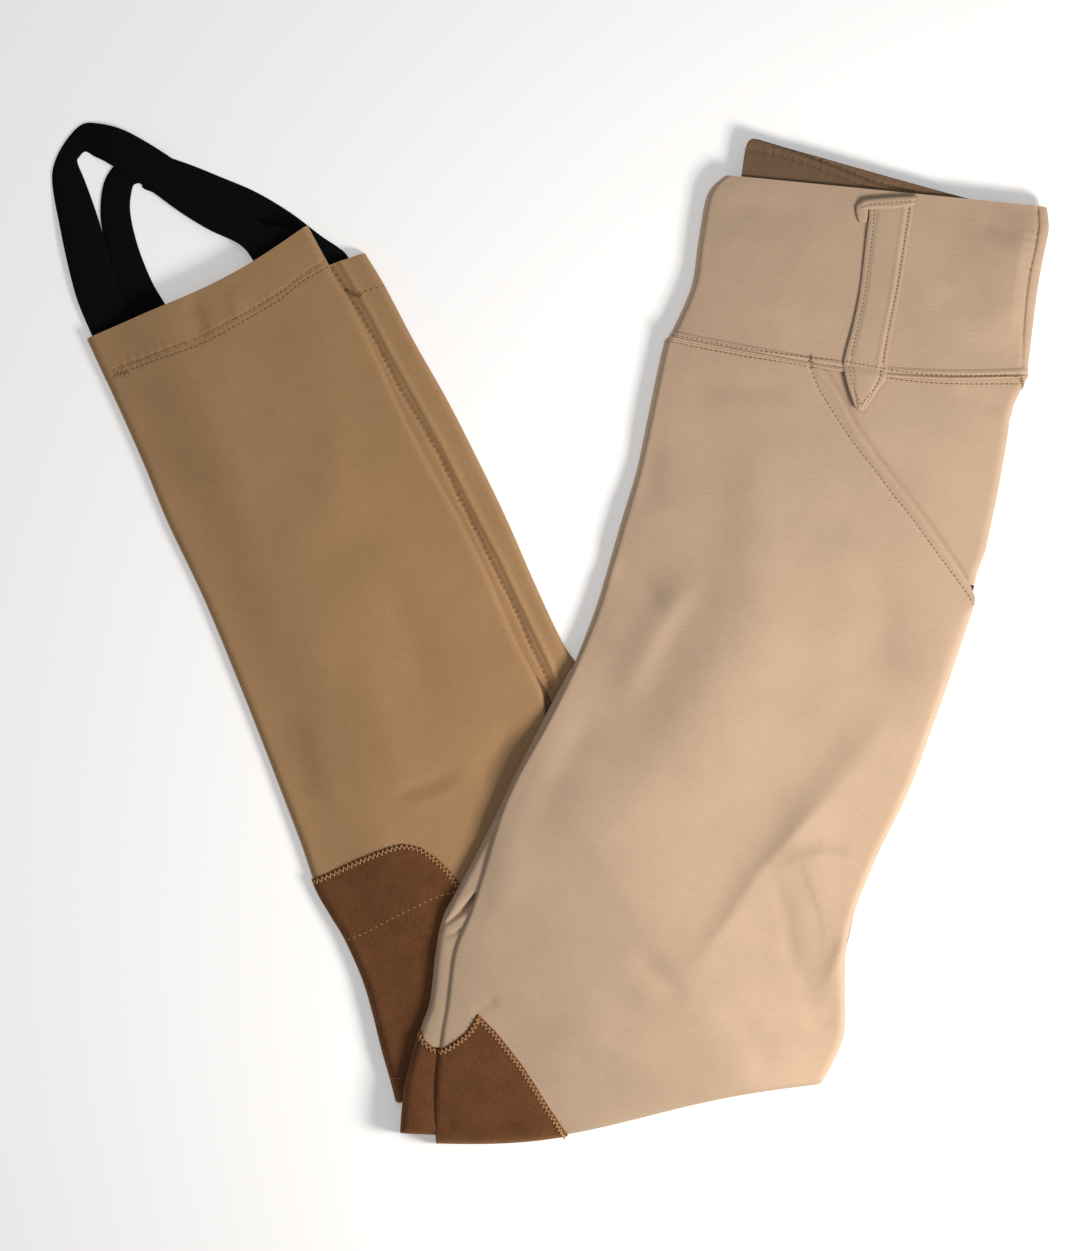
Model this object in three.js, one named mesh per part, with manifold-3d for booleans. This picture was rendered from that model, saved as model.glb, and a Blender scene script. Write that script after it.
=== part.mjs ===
// Riding breeches, folded in half along the centre seam and again at the knee, lying flat.
// Units are millimetres, +Z is up, and the floor is Z = 0.
// The waist is at +Y, the stirrup straps are at -X and +Y, and the knee fold is at -Y.

import * as THREE from 'three';
import { mergeVertices } from 'three/addons/utils/BufferGeometryUtils.js';
import Module from 'manifold-3d';

const wasm = await Module();
wasm.setup();

// Driving sizes
const CLOTH = 1.3;
const HEM = 1.8;
const PATCH = 1.0;
const WEB = 1.2;
const GAP = 0.3;
const SEAM_RAISE = 0.5;
const WAIST_STACK = 10;
const KNEE_RISE = 8;
const CALF_STACK = 9.5;
const LOWER_CALF = 4.7;
const FAR_STEP = 4.8;
const KNEE_ROLL = 10;

// The outline tables are in squares of a half-millimetre grid, counted right and down
// from the corner of the laying table, and this is the garment's middle on that grid.
const SQUARE = 0.5;
const MIDDLE = { x: 549.5, y: 633.3 };

const mmX = (x) => (x - MIDDLE.x) * SQUARE;
const mmY = (y) => (MIDDLE.y - y) * SQUARE;
const mix = (a, b, t) => a + (b - a) * t;
const clamp = (v, low = 0, high = 1) => Math.min(high, Math.max(low, v));
const ease = (low, high, v) => {
  const t = clamp((v - low) / (high - low));
  return t * t * (3 - 2 * t);
};

// A section table becomes a smooth run of sections, measured in millimetres along its middle.
function sections(columns, rows) {
  const list = rows.map((row) => Object.fromEntries(columns.map((name, i) => [name, row[i]])));
  for (const r of list) {
    r.leftX = mmX(r.leftX);
    r.rightX = mmX(r.rightX);
    r.leftY = mmY(r.leftY);
    r.rightY = mmY(r.rightY);
  }
  const along = [0];
  for (let i = 1; i < list.length; i += 1) {
    const a = list[i - 1];
    const b = list[i];
    const dx = (a.leftX + a.rightX - b.leftX - b.rightX) / 2;
    const dy = (a.leftY + a.rightY - b.leftY - b.rightY) / 2;
    along.push(along[i - 1] + Math.hypot(dx, dy));
  }
  const length = along[along.length - 1];
  const at = (s) => {
    let i = 1;
    while (i < list.length - 1 && s > along[i]) i += 1;
    const t = (s - along[i - 1]) / (along[i] - along[i - 1]);
    const four = [i - 2, i - 1, i, i + 1].map((k) => list[clamp(k, 0, list.length - 1)]);
    const out = {};
    for (const name of columns) {
      const [a, b, c, d] = four.map((r) => r[name]);
      const curve = 0.5 * (2 * b + (c - a) * t + (2 * a - 5 * b + 4 * c - d) * t * t
        + (3 * b - a - 3 * c + d) * t * t * t);
      out[name] = t < 0 || t > 1 ? mix(b, c, t) : curve;
    }
    return out;
  };
  return { at, along, length };
}

// The largest folds: soft troughs (minus) and ridges (plus), each along a line on the grid.
const FOLD_COLUMNS = ['x1', 'y1', 'x2', 'y2', 'wide', 'rise'];
const FOLDS = [
  [850, 765, 672, 985, 16, -1.6],
  [800, 640, 705, 800, 34, 1.2],
  [700, 610, 610, 760, 26, -1.3],
  [645, 600, 705, 570, 14, -0.9],
  [870, 872, 790, 862, 15, 1.3],
  [845, 940, 822, 1000, 12, -0.8],
  [655, 440, 650, 500, 16, -0.7],
  [500, 750, 545, 728, 10, -0.6],
  [400, 785, 455, 768, 8, -0.6],
].map((row) => Object.fromEntries(FOLD_COLUMNS.map((name, i) => [name, row[i]])));

function foldRise(x, y) {
  let total = 0;
  for (const f of FOLDS) {
    const ax = mmX(f.x1);
    const ay = mmY(f.y1);
    const dx = mmX(f.x2) - ax;
    const dy = mmY(f.y2) - ay;
    const run = Math.hypot(dx, dy);
    const t = ((x - ax) * dx + (y - ay) * dy) / (run * run);
    const past = Math.max(0, -t, t - 1) * run;
    const side = Math.abs((x - ax) * dy - (y - ay) * dx) / run;
    const wide = f.wide * SQUARE;
    total += f.rise * Math.exp(-((side / wide) ** 2) - ((past / (1.5 * wide)) ** 2));
  }
  return total;
}

// The thighs rise over the folded calves, whose hidden edge runs from the crotch to the fold.
const HIDDEN_EDGE = { x: 12.5, y: -13.2, acrossX: -0.848, acrossY: -0.53 };

function thighTop(x, y) {
  const over = (x - HIDDEN_EDGE.x) * HIDDEN_EDGE.acrossX + (y - HIDDEN_EDGE.y) * HIDDEN_EDGE.acrossY;
  return WAIST_STACK + KNEE_RISE * ease(-15, 45, over) + foldRise(x, y);
}

// The outer front of the left leg, from the top of the waistband to the knee fold.
// bow and skew bend a section, leftMid and rightMid are where its edge rolls end,
// rim is how far across the front panel reaches, and the pocket shows past it.
const NEAR = sections(
  ['leftX', 'leftY', 'rightX', 'rightY', 'bow', 'skew', 'leftMid', 'rightMid',
    'leftRoll', 'rightRoll', 'rim'],
  [
    [724, 175, 1048, 207, 0, 0, 1, 5, 5, 4, 0.3],
    [708, 193, 1050, 228, -1, 0, 1, 5, 6, 4.5, 0.32],
    [699, 240, 1045, 254, -2, 0, 1, 5, 6, 4.5, 0.34],
    [692, 285, 1038, 294, -3.5, 0.4, 1, 5, 6, 4.5, 0.37],
    [672, 331, 1029, 368, -6.4, 0.8, 1, 5, 6, 4.5, 0.41],
    [665, 341, 1028, 378, -6.4, 0.8, 1, 5, 6, 4.5, 0.43],
    [658, 370, 1013, 410, -4.5, 0.4, 1, 5, 6, 4.5, 0.505],
    [648, 418, 1008, 442, -2.5, 0, 1, 5, 6, 4.5, 0.585],
    [637, 470, 999, 492, -1, 0, 1, 5, 6, 4.5, 0.713],
    [622, 520, 989, 540, 0, 0, 1, 5, 6, 4.5, 0.856],
    [607, 572, 978, 590, 0, 0, 1, 5, 6, 4.5, 0.984],
    [596, 608, 972, 615, 0, 0, 1.6, 5, 6, 4.5, 1],
    [582, 645, 962, 645, 0, 0, 4, 5, 5, 4.5, 1],
    [567, 680, 945, 695, 0, 0, 8.6, 5, 4, 4.5, 1],
    [545, 725, 933, 728, 0, 0, 12.5, 5, 4, 4.5, 1],
    [520, 770, 918, 770, 0, 0, 14, 5, 4, 4.5, 1],
    [500, 815, 902, 808, 0, 0, 14, 5, 4, 4.5, 1],
    [484, 868, 880, 852, 0, 0, 14, 5, 4, 4.5, 1],
    [470, 912, 858, 905, 0, 0, 14, 5, 4, 4.5, 1],
    [455, 950, 847, 950, 0, 0, 14, 5, 4, 4.5, 1],
    [448, 1000, 846, 1000, 0, 0, 14, 5, 4, 4.5, 1],
    [441, 1042, 845, 1036, -1, 0, 14, 4, 4, 4.5, 1],
    [437, 1090, 834, 1064, -2, -1.5, 14, 2, 4, 4.5, 1],
    [438, 1143, 822, 1086, -3.8, -3.2, 14, 1, 4, 4.5, 1],
  ],
);
const BAND_END = NEAR.along[4];
const PANEL_START = NEAR.along[5];
const POCKET_END = NEAR.along[10];

// The lower right leg, from its hem to the knee; its right edge runs in below the thighs.
const CALF_COLUMNS = ['leftX', 'leftY', 'rightX', 'rightY', 'bow', 'rightOpen', 'edgeTop'];
const CALF = sections(CALF_COLUMNS, [
  [85, 338, 307, 225, -4.2, 0, 5.2],
  [104, 379, 330, 267, -4.2, 0, 5.2],
  [125, 425, 354, 307, -3, 0, 5.2],
  [143, 466, 380, 360, -1, 0, 5.2],
  [165, 520, 405, 415, 0, 0, 5.2],
  [196, 585, 438, 478, 0, 0, 5.2],
  [214, 626, 462, 520, 0, 0, 5.2],
  [232, 670, 488, 573, 0, 0, 5.2],
  [256, 730, 517, 640, 0, 0, 5.2],
  [281, 795, 545, 702, 0, 0.3, 5.4],
  [300, 845, 540, 768, 0, 1, 5.8],
  [315, 888, 514, 822, 0, 1, 6],
  [330, 915, 497, 860, 0, 1, 6.4],
  [345, 940, 484, 895, 0, 1, 6.8],
  [362, 978, 465, 935, 0, 1, 7.4],
  [372, 1010, 455, 975, 0, 1, 8],
  [382, 1050, 450, 1020, 0, 1, 8.4],
  [390, 1078, 440, 1058, 0, 1, 8.6],
  [397, 1105, 425, 1094, 0, 1, 8.6],
]);
const HEM_END = CALF.along[1];

// The strip of the lower left leg that shows past the right one.
const UNDER = sections(['leftX', 'leftY', 'rightX', 'rightY'], [
  [314, 282, 364, 253],
  [338, 309, 386, 288],
  [364, 362, 414, 341],
  [392, 418, 448, 401],
  [428, 484, 483, 470],
  [452, 528, 508, 522],
  [480, 586, 536, 586],
  [508, 646, 563, 643],
  [531, 694, 580, 668],
  [546, 724, 592, 694],
]);
const UNDER_HEM_END = UNDER.along[1];

// The right thigh's edge that shows past the left thigh, and the patch sliver below it.
const FAR = sections(['leftX', 'leftY', 'rightX', 'rightY', 'leftMid'], [
  [571, 668, 584, 676, 5.2],
  [545, 716, 562, 728, 9.9],
  [516, 772, 536, 780, 9.9],
  [492, 822, 514, 828, 9.9],
  [474, 858, 504, 862, 11.2],
  [458, 888, 494, 896, 11.2],
  [443, 917, 486, 922, 11.2],
  [436, 950, 472, 954, 11.2],
  [430, 1000, 462, 1003, 11.2],
  [422, 1024, 457, 1032, 11.2],
  [412, 1058, 452, 1062, 11.2],
  [405, 1090, 450, 1092, 11.2],
  [401, 1134, 450, 1136, 11.2],
]);
const SLIVER_START = FAR.along[9];

// The back waistband, whose inner face stands past the front one.
const BACK_BAND = sections(['leftX', 'leftY', 'rightX', 'rightY', 'bow'], [
  [749, 136, 1026, 214, -0.5],
  [745, 152, 1028, 230, 0],
  [742, 172, 1028, 250, 0],
  [736, 210, 1026, 274, 0],
  [728, 250, 1020, 298, 0],
]);

// The hidden far leg inside the fold, a little smaller than the outside all round.
const INSIDE = sections(['leftX', 'leftY', 'rightX', 'rightY', 'top'], [
  [757, 148, 1035, 226, 6.3],
  [742, 174, 1039, 244, 6.3],
  [714, 216, 1040, 264, 6.3],
  [704, 262, 1036, 292, 6],
  [676, 346, 1022, 382, 4.8],
  [652, 440, 1003, 446, 4.8],
  [614, 570, 976, 590, 4.8],
  [590, 650, 955, 655, 4.8],
  [575, 720, 930, 728, 4.8],
  [560, 800, 898, 808, 4.8],
  [540, 900, 856, 900, 4.8],
  [500, 1000, 843, 1000, 4.8],
  [470, 1060, 838, 1042, 4.8],
  [452, 1126, 816, 1076, 4.8],
]);

// A layer is a section run with its top height, its edge rolls and its ends.
const nearLayer = {
  run: NEAR,
  top: (x, y) => thighTop(x, y),
  endRoll: KNEE_ROLL,
  endMid: 1,
};
const calfLayer = {
  run: CALF,
  top: (x, y, in_, r) => mix(r.edgeTop, CALF_STACK, ease(8, 45, in_)) + foldRise(x, y),
  rolls: { leftMid: 0.9, leftRoll: 4, rightMid: 5.2, rightRoll: 3.5 },
};
const underLayer = {
  run: UNDER,
  top: () => LOWER_CALF,
  rolls: { leftMid: 0.9, leftRoll: 3, rightMid: 0.9, rightRoll: 3.5, leftOpen: 1 },
};
const farLayer = {
  run: FAR,
  top: (x, y) => thighTop(x, y) - FAR_STEP,
  rolls: { leftRoll: 3.5, rightOpen: 1, rightMid: 5, rightRoll: 3 },
  endRoll: 7,
  endMid: 1,
};
const backBandLayer = {
  run: BACK_BAND,
  top: (x, y, in_, r, s) => WAIST_STACK - CLOTH - GAP - 0.3 * (1 - ease(0, 16, s)),
  rolls: { leftOpen: 1, rightOpen: 1, leftMid: 1, rightMid: 1, leftRoll: 3, rightRoll: 3 },
};

// One point of a layer. s runs along it and d across it, both in millimetres, and deep is
// how far below its outer face the point lies. A roll is a quarter ellipse at each edge.
function layerPoint(layer, s, across, deep, along, grow = 0) {
  const r = { bow: 0, skew: 0, leftOpen: 0, rightOpen: 0, ...layer.run.at(s), ...layer.rolls };
  const wide = Math.hypot(r.rightX - r.leftX, r.rightY - r.leftY);
  const { side, angle, part } = across;
  const limit = layer.limit ? layer.limit(s, r, wide) : { from: 0, to: wide, cutLeft: 0, cutRight: 0 };
  const openL = clamp(Math.max(r.leftOpen, limit.cutLeft));
  const openR = clamp(Math.max(r.rightOpen, limit.cutRight));
  const rollL = (r.leftRoll - deep) * (1 - openL) + 0.6 * openL;
  const rollR = (r.rightRoll - deep) * (1 - openR) + 0.6 * openR;
  const startL = limit.from + deep * (1 - openL) - grow * openL;
  const startR = limit.to - deep * (1 - openR) + grow * openR;
  let d = mix(startL + rollL, startR - rollR, part);
  if (side < 0) d = startL + rollL * (1 - Math.cos(angle));
  if (side > 0) d = startR - rollR * (1 - Math.cos(angle));
  const open = side < 0 ? openL : openR;
  const share = side === 0 ? 1 : mix(Math.sin(angle), 1, open);
  const u = d / wide;
  const x = mix(r.leftX, r.rightX, u);
  const y = mix(r.leftY, r.rightY, u) + r.bow * Math.sin(Math.PI * clamp(u))
    + r.skew * Math.sin(2 * Math.PI * clamp(u));
  const top = layer.top(x, y, d, r, s) - deep;
  const mid = side < 0 ? r.leftMid : side > 0 ? r.rightMid : 0;
  let z = side === 0 ? top : mid + (top - mid) * share;
  if (along !== undefined) z = layer.endMid + (z - layer.endMid) * Math.sin(along);
  return [x, y, z];
}

const ROLL_STEPS = 3;

function acrossSteps(count) {
  const list = [];
  for (let i = 0; i < ROLL_STEPS; i += 1) {
    list.push({ side: -1, angle: (i / ROLL_STEPS) * Math.PI / 2, part: 0 });
  }
  for (let i = 0; i <= count; i += 1) list.push({ side: 0, angle: Math.PI / 2, part: i / count });
  for (let i = ROLL_STEPS - 1; i >= 0; i -= 1) {
    list.push({ side: 1, angle: (i / ROLL_STEPS) * Math.PI / 2, part: 1 });
  }
  return list;
}

// Stations along a layer, the same for every piece on it, and closer round a rolled end.
const STEP = 18;
const FIRST_STEP = 6;
function alongSteps(layer, from, to, deep, rolled, extra = 0) {
  const list = [];
  const roll = rolled ? layer.endRoll - deep : 0;
  const stop = rolled ? to - deep - roll : to + extra;
  const start = from - extra;
  list.push({ s: start });
  if (start < FIRST_STEP - 1) list.push({ s: FIRST_STEP });
  const step = layer.step ?? STEP;
  for (let s = Math.ceil(start / step) * step; s < stop - 3; s += step) {
    if (s > start + 3) list.push({ s });
  }
  list.push({ s: stop });
  if (rolled) {
    for (let i = ROLL_STEPS - 1; i >= 0; i -= 1) {
      const angle = (i / ROLL_STEPS) * Math.PI / 2;
      list.push({ s: to - deep - roll * (1 - Math.cos(angle)), angle });
    }
  }
  return list;
}

function grid(layer, stations, columns, deep, grow = 0) {
  return stations.map((st) => columns.map((c) => layerPoint(layer, st.s, c, deep, st.angle, grow)));
}

// The signed volume tells whether the faces point out.
function volumeOf(points, faces) {
  const corner = (k) => new THREE.Vector3().fromArray(points, 3 * faces[k]);
  let total = 0;
  for (let k = 0; k < faces.length; k += 3) {
    total += corner(k).dot(corner(k + 1).cross(corner(k + 2))) / 6;
  }
  return total;
}

// Two matching grids of points become one closed solid.
function closeGrids(upper, lower) {
  const rows = upper.length;
  const cols = upper[0].length;
  const points = [];
  for (const g of [upper, lower]) for (const row of g) for (const p of row) points.push(...p);
  const up = (i, j) => i * cols + j;
  const low = (i, j) => rows * cols + i * cols + j;
  const faces = [];
  const quad = (a, b, c, d) => faces.push(a, b, c, a, c, d);
  for (let i = 0; i < rows - 1; i += 1) {
    for (let j = 0; j < cols - 1; j += 1) {
      quad(up(i, j), up(i + 1, j), up(i + 1, j + 1), up(i, j + 1));
      quad(low(i, j), low(i, j + 1), low(i + 1, j + 1), low(i + 1, j));
    }
    quad(up(i + 1, 0), up(i, 0), low(i, 0), low(i + 1, 0));
    quad(up(i, cols - 1), up(i + 1, cols - 1), low(i + 1, cols - 1), low(i, cols - 1));
  }
  for (let j = 0; j < cols - 1; j += 1) {
    quad(up(0, j), up(0, j + 1), low(0, j + 1), low(0, j));
    quad(up(rows - 1, j + 1), up(rows - 1, j), low(rows - 1, j), low(rows - 1, j + 1));
  }
  if (volumeOf(points, faces) < 0) faces.reverse();
  const geometry = new THREE.BufferGeometry();
  geometry.setAttribute('position', new THREE.Float32BufferAttribute(points, 3));
  geometry.setIndex(faces);
  return geometry;
}

// A cloth wall of a layer between two stations. clear grows it on every side.
function wall(layer, { from, to, columns, thick = CLOTH, raise = 0, rolled = false, clear = 0 }) {
  const across = acrossSteps(columns);
  const outer = -raise - clear;
  const inner = thick - raise + clear;
  const up = grid(layer, alongSteps(layer, from, to, outer, rolled, clear), across, outer, clear);
  const low = grid(layer, alongSteps(layer, from, to, inner, rolled, clear), across, inner, clear);
  if (clear > 0) for (const row of low) for (const k of [0, row.length - 1]) row[k][2] -= clear;
  if (clear > 0) for (const row of up) for (const k of [0, row.length - 1]) row[k][2] -= clear;
  return closeGrids(up, low);
}

// The hidden layers below a cloth wall, down to a flat face on the floor.
function filling(layer, { from, to, columns, deep, rolled = false, ends = 0 }) {
  const across = acrossSteps(columns);
  const stations = alongSteps(layer, from, to, deep, rolled);
  const up = grid(layer, stations, across, deep);
  const low = stations.map((st, i) => {
    const line = across.map((c, j) => {
      const share = c.side === 0 ? 1 : Math.sin(c.angle);
      const end = st.angle === undefined ? 1 : Math.sin(st.angle);
      const [x, y, z] = up[i][j];
      const r = { ...layer.run.at(st.s), ...layer.rolls };
      const mid = c.side < 0 ? r.leftMid : r.rightMid;
      const edge = c.side === 0 ? 0 : mid * (1 - share);
      const base = mix(layer.endMid ?? 0, edge, end);
      return [x, y, share === 0 || end === 0 ? Math.min(z, base) - 0.05 : Math.max(0, Math.min(base, z - 0.4))];
    });
    return line;
  });
  return closeGrids(up, low);
}

function solidOf(geometry) {
  const g = new THREE.BufferGeometry();
  g.setAttribute('position', geometry.getAttribute('position'));
  g.setIndex(geometry.getIndex());
  const merged = mergeVertices(g, 1e-4);
  return new wasm.Manifold(new wasm.Mesh({
    numProp: 3,
    vertProperties: new Float32Array(merged.getAttribute('position').array),
    triVerts: new Uint32Array(merged.getIndex().array),
  }));
}

function geometryOf(solid) {
  const m = solid.getMesh();
  const g = new THREE.BufferGeometry();
  g.setAttribute('position', new THREE.BufferAttribute(new Float32Array(m.vertProperties), 3));
  g.setIndex(new THREE.BufferAttribute(new Uint32Array(m.triVerts), 1));
  return g;
}

// The front panel stops at the pocket's rim, and the pocket's facing lies a layer lower.
const RIM_TUCK = 6;
const frontLayer = {
  ...nearLayer,
  limit: (s, r, wide) => {
    const rim = clamp(r.rim);
    return { from: 0, to: rim * wide, cutLeft: 0, cutRight: s < POCKET_END + 4 ? 1 : 1 - ease(0, 14, s - POCKET_END - 4) };
  },
};
const facingLayer = {
  ...nearLayer,
  top: (x, y) => thighTop(x, y) - CLOTH - GAP,
  limit: (s, r, wide) => {
    const under = 1.8 * ease(POCKET_END - 22, POCKET_END - 8, s);
    return { from: r.rim * wide - RIM_TUCK, to: wide - under, cutLeft: 1, cutRight: 0 };
  },
};

// The suede patch over the inner knee, counted from the knee fold and the inner edge.
const THIGH_PATCH = [
  { back: 66, from: 14, to: 18 },
  { back: 60, from: 12.5, to: 22 },
  { back: 56, from: 9, to: 26 },
  { back: 50, from: 4.5, to: 33 },
  { back: 36, from: 4.5, to: 42 },
  { back: 22, from: 4.5, to: 52 },
  { back: 10, from: 4.5, to: 60 },
  { back: 0, from: 4.5, to: 66 },
];
const CALF_PATCH = [
  { back: 120, from: 4.5, to: 46 },
  { back: 113, from: 4.5, to: 62 },
  { back: 104, from: 4.5, to: 72 },
  { back: 94, from: 4.5, to: 76 },
  { back: 0, from: 4.5, to: 76 },
];

function patchLayer(layer, table, inset) {
  const column = (name, back) => {
    let i = 1;
    while (i < table.length - 1 && back < table[i].back) i += 1;
    const t = (back - table[i - 1].back) / (table[i].back - table[i - 1].back);
    return mix(table[i - 1][name], table[i][name], clamp(t));
  };
  return {
    ...layer,
    limit: (s, r, wide) => {
      const back = layer.run.length - s;
      const from = Math.max(0, column('from', back));
      const to = Math.min(column('to', back), wide - inset);
      return { from, to: Math.max(to, from + 3), cutLeft: 1, cutRight: 1 };
    },
  };
}

const thighPatchLayer = patchLayer(nearLayer, THIGH_PATCH, 20);
const calfPatchLayer = patchLayer(calfLayer, CALF_PATCH, 1);

// A flat band from a table of its two edges and the height of its underside.
function ribbon(rows, thick, perRow = 2) {
  const list = rows.map(([x1, y1, x2, y2, z]) => [mmX(x1), mmY(y1), mmX(x2), mmY(y2), z]);
  const dense = [];
  for (let i = 0; i < list.length - 1; i += 1) {
    const four = [i - 1, i, i + 1, i + 2].map((k) => list[clamp(k, 0, list.length - 1)]);
    for (let k = 0; k < perRow; k += 1) {
      const t = k / perRow;
      dense.push(four[0].map((a, n) => {
        const [b, c, d] = [four[1][n], four[2][n], four[3][n]];
        return 0.5 * (2 * b + (c - a) * t + (2 * a - 5 * b + 4 * c - d) * t * t
          + (3 * b - a - 3 * c + d) * t * t * t);
      }));
    }
  }
  dense.push(list[list.length - 1]);
  const face = (up) => dense.map(([x1, y1, x2, y2, z]) => [0, 0.5, 1].map((t) => [
    mix(x1, x2, t), mix(y1, y2, t), Math.max(z, 0) + up,
  ]));
  const upper = face(thick);
  const lower = face(0);
  return closeGrids(upper, lower);
}

// Elastic stirrup straps: outer edge, inner edge and height of the underside.
const STRAP_RIGHT = [
  [99, 352, 139, 335, 1.6],
  [90, 334, 131, 316, 1.6],
  [75, 298, 119, 288, 1.6],
  [65, 260, 107, 252, 1.6],
  [57, 222, 95, 213, 1.2],
  [50, 185, 83, 180, 0],
  [51, 163, 75, 160, 0],
  [62, 140, 77, 154, 0],
  [79, 122, 83, 149, 0],
  [97, 121, 92, 154, 0.6],
  [120, 127, 104, 160, 1.5],
  [145, 140, 127, 174, 1.7],
  [173, 158, 152, 191, 1.8],
  [200, 178, 178, 210, 2.2],
  [230, 197, 207, 228, 3],
  [260, 221, 238, 243, 4.2],
  [291, 230, 252, 259, 5.5],
  [300, 248, 261, 277, 5.7],
];
const STRAP_LEFT = [
  [143, 345, 178, 330, 0],
  [126, 316, 164, 304, 0],
  [112, 280, 150, 280, 0],
  [103, 245, 136, 245, 0],
  [98, 212, 128, 210, 0],
  [101, 182, 130, 186, 0],
  [112, 163, 135, 181, 0],
  [130, 151, 140, 182, 0],
  [152, 151, 143, 187, 0],
  [185, 161, 172, 197, 0],
  [220, 175, 204, 210, 0],
  [255, 190, 236, 223, 0],
  [290, 211, 268, 242, 0.4],
  [320, 234, 298, 265, 1.2],
  [344, 251, 322, 280, 1.3],
  [353, 269, 331, 298, 1.3],
];

// The belt loop and its pointed tab lie on the waistband, so they follow its height.
function overlay(rows, thick, lift, perRow = 3) {
  const put = ([x1, y1, x2, y2]) => [x1, y1, x2, y2, 0];
  const flat = ribbon(rows.map(put), thick, perRow);
  const p = flat.getAttribute('position');
  for (let i = 0; i < p.count; i += 1) {
    p.setZ(i, p.getZ(i) + lift + thighTop(p.getX(i), p.getY(i)));
  }
  return flat;
}
const LOOP_ROWS = [
  [863, 199, 916, 198],
  [864, 215, 913, 213],
  [863, 240, 909, 238],
  [858, 290, 901, 288],
  [852, 325, 893, 325],
  [843, 356, 887, 362],
];
const TAB_ROWS = [
  [843, 363, 886, 369],
  [846, 378, 886, 381],
  [850, 395, 875, 394],
  [856, 407, 862, 408],
];

const shades = {
  cloth: { color: 0xa98a68, roughness: 0.92, metalness: 0 },
  lining: { color: 0x9d7f5e, roughness: 0.93, metalness: 0 },
  suede: { color: 0x7a4a2a, roughness: 0.97, metalness: 0 },
  elastic: { color: 0x17171a, roughness: 0.85, metalness: 0 },
};

const group = new THREE.Group();
function add(name, geometry, shade) {
  const mesh = new THREE.Mesh(geometry, new THREE.MeshStandardMaterial(shades[shade]));
  mesh.name = name;
  group.add(mesh);
}

const parts = {
  waistband_front: [nearLayer, { from: 0, to: BAND_END - GAP, columns: 10 }, 'cloth'],
  waist_seam_strip: [nearLayer, {
    from: BAND_END, to: PANEL_START, columns: 10, raise: SEAM_RAISE, thick: CLOTH + SEAM_RAISE,
  }, 'cloth'],
  front_panel_left: [frontLayer, {
    from: PANEL_START + GAP, to: NEAR.length, columns: 10, rolled: true,
  }, 'cloth'],
  pocket_facing_left: [facingLayer, {
    from: PANEL_START + GAP, to: POCKET_END - 3, columns: 5,
  }, 'cloth'],
  waistband_back: [backBandLayer, { from: 0, to: BACK_BAND.length, columns: 10 }, 'lining'],
  thigh_edge_right: [farLayer, { from: 0, to: SLIVER_START - GAP, columns: 2 }, 'cloth'],
  knee_patch_right_thigh: [farLayer, {
    from: SLIVER_START, to: FAR.length, columns: 3, rolled: true,
  }, 'suede'],
  hem_right: [calfLayer, {
    from: 0, to: HEM_END, columns: 7, raise: 0.3, thick: HEM,
  }, 'cloth'],
  calf_panel_right: [calfLayer, {
    from: HEM_END + GAP, to: CALF.length, columns: 7,
  }, 'cloth'],
  hem_left: [underLayer, { from: 0, to: UNDER_HEM_END, columns: 3, thick: HEM }, 'cloth'],
  calf_panel_left: [underLayer, {
    from: UNDER_HEM_END + GAP, to: UNDER.length, columns: 3,
  }, 'cloth'],
};
for (const [name, [layer, size, shade]] of Object.entries(parts)) add(name, wall(layer, size), shade);

const thighPatch = wall(thighPatchLayer, {
  from: NEAR.length - THIGH_PATCH[0].back, to: NEAR.length, columns: 5,
  thick: PATCH, raise: PATCH + 0.45, rolled: true,
});
add('knee_patch_left_thigh', thighPatch, 'suede');
const calfPatchSize = {
  from: CALF.length - CALF_PATCH[0].back, to: CALF.length - 2, columns: 6,
  thick: PATCH, raise: PATCH + 0.45,
};
add('knee_patch_right_calf', wall(calfPatchLayer, calfPatchSize), 'suede');
add('stirrup_strap_right', ribbon(STRAP_RIGHT, WEB), 'elastic');
add('stirrup_strap_left', ribbon(STRAP_LEFT, WEB), 'elastic');
add('belt_loop', overlay(LOOP_ROWS, CLOTH, GAP + SEAM_RAISE), 'cloth');
add('belt_loop_tab', overlay(TAB_ROWS, CLOTH, GAP + SEAM_RAISE), 'cloth');

// The hidden layers as one rounded solid, hollowed where the visible pieces tuck in.
const insideLayer = {
  run: INSIDE,
  top: (x, y, in_, r) => r.top,
  rolls: { leftMid: 2.4, rightMid: 2.4, leftRoll: 3, rightRoll: 3 },
  endRoll: 3,
  endMid: 2.4,
  step: 2 * STEP,
};
const band = ease;
const nearFill = {
  ...nearLayer,
  top: (x, y, in_, r, s) => {
    const rim = r.rim * Math.hypot(r.rightX - r.leftX, r.rightY - r.leftY);
    const waist = 1 - band(PANEL_START - 6, PANEL_START + 6, s);
    const pocket = band(-40, -26, in_ - rim) * (1 - band(POCKET_END + 4, POCKET_END + 16, s));
    return thighTop(x, y) - (CLOTH + GAP) * Math.max(waist, pocket);
  },
};
const calfFill = {
  ...calfLayer,
  limit: (s, r, wide) => ({ from: 0, to: wide + 14 * clamp(r.rightOpen), cutLeft: 0, cutRight: r.rightOpen }),
};
const underFill = {
  ...underLayer,
  limit: (s, r, wide) => ({ from: -12, to: wide, cutLeft: 1, cutRight: 0 }),
};
const deep = CLOTH + GAP + 0.15;
let core = solidOf(filling(nearFill, {
  from: FIRST_STEP, to: NEAR.length, columns: 10, deep, rolled: true,
}));
core = core.add(solidOf(filling(insideLayer, {
  from: 0, to: INSIDE.length, columns: 4, deep: 0, rolled: true,
})));
core = core.add(solidOf(filling(calfFill, {
  from: FIRST_STEP, to: CALF.length, columns: 7, deep,
})));
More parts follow.
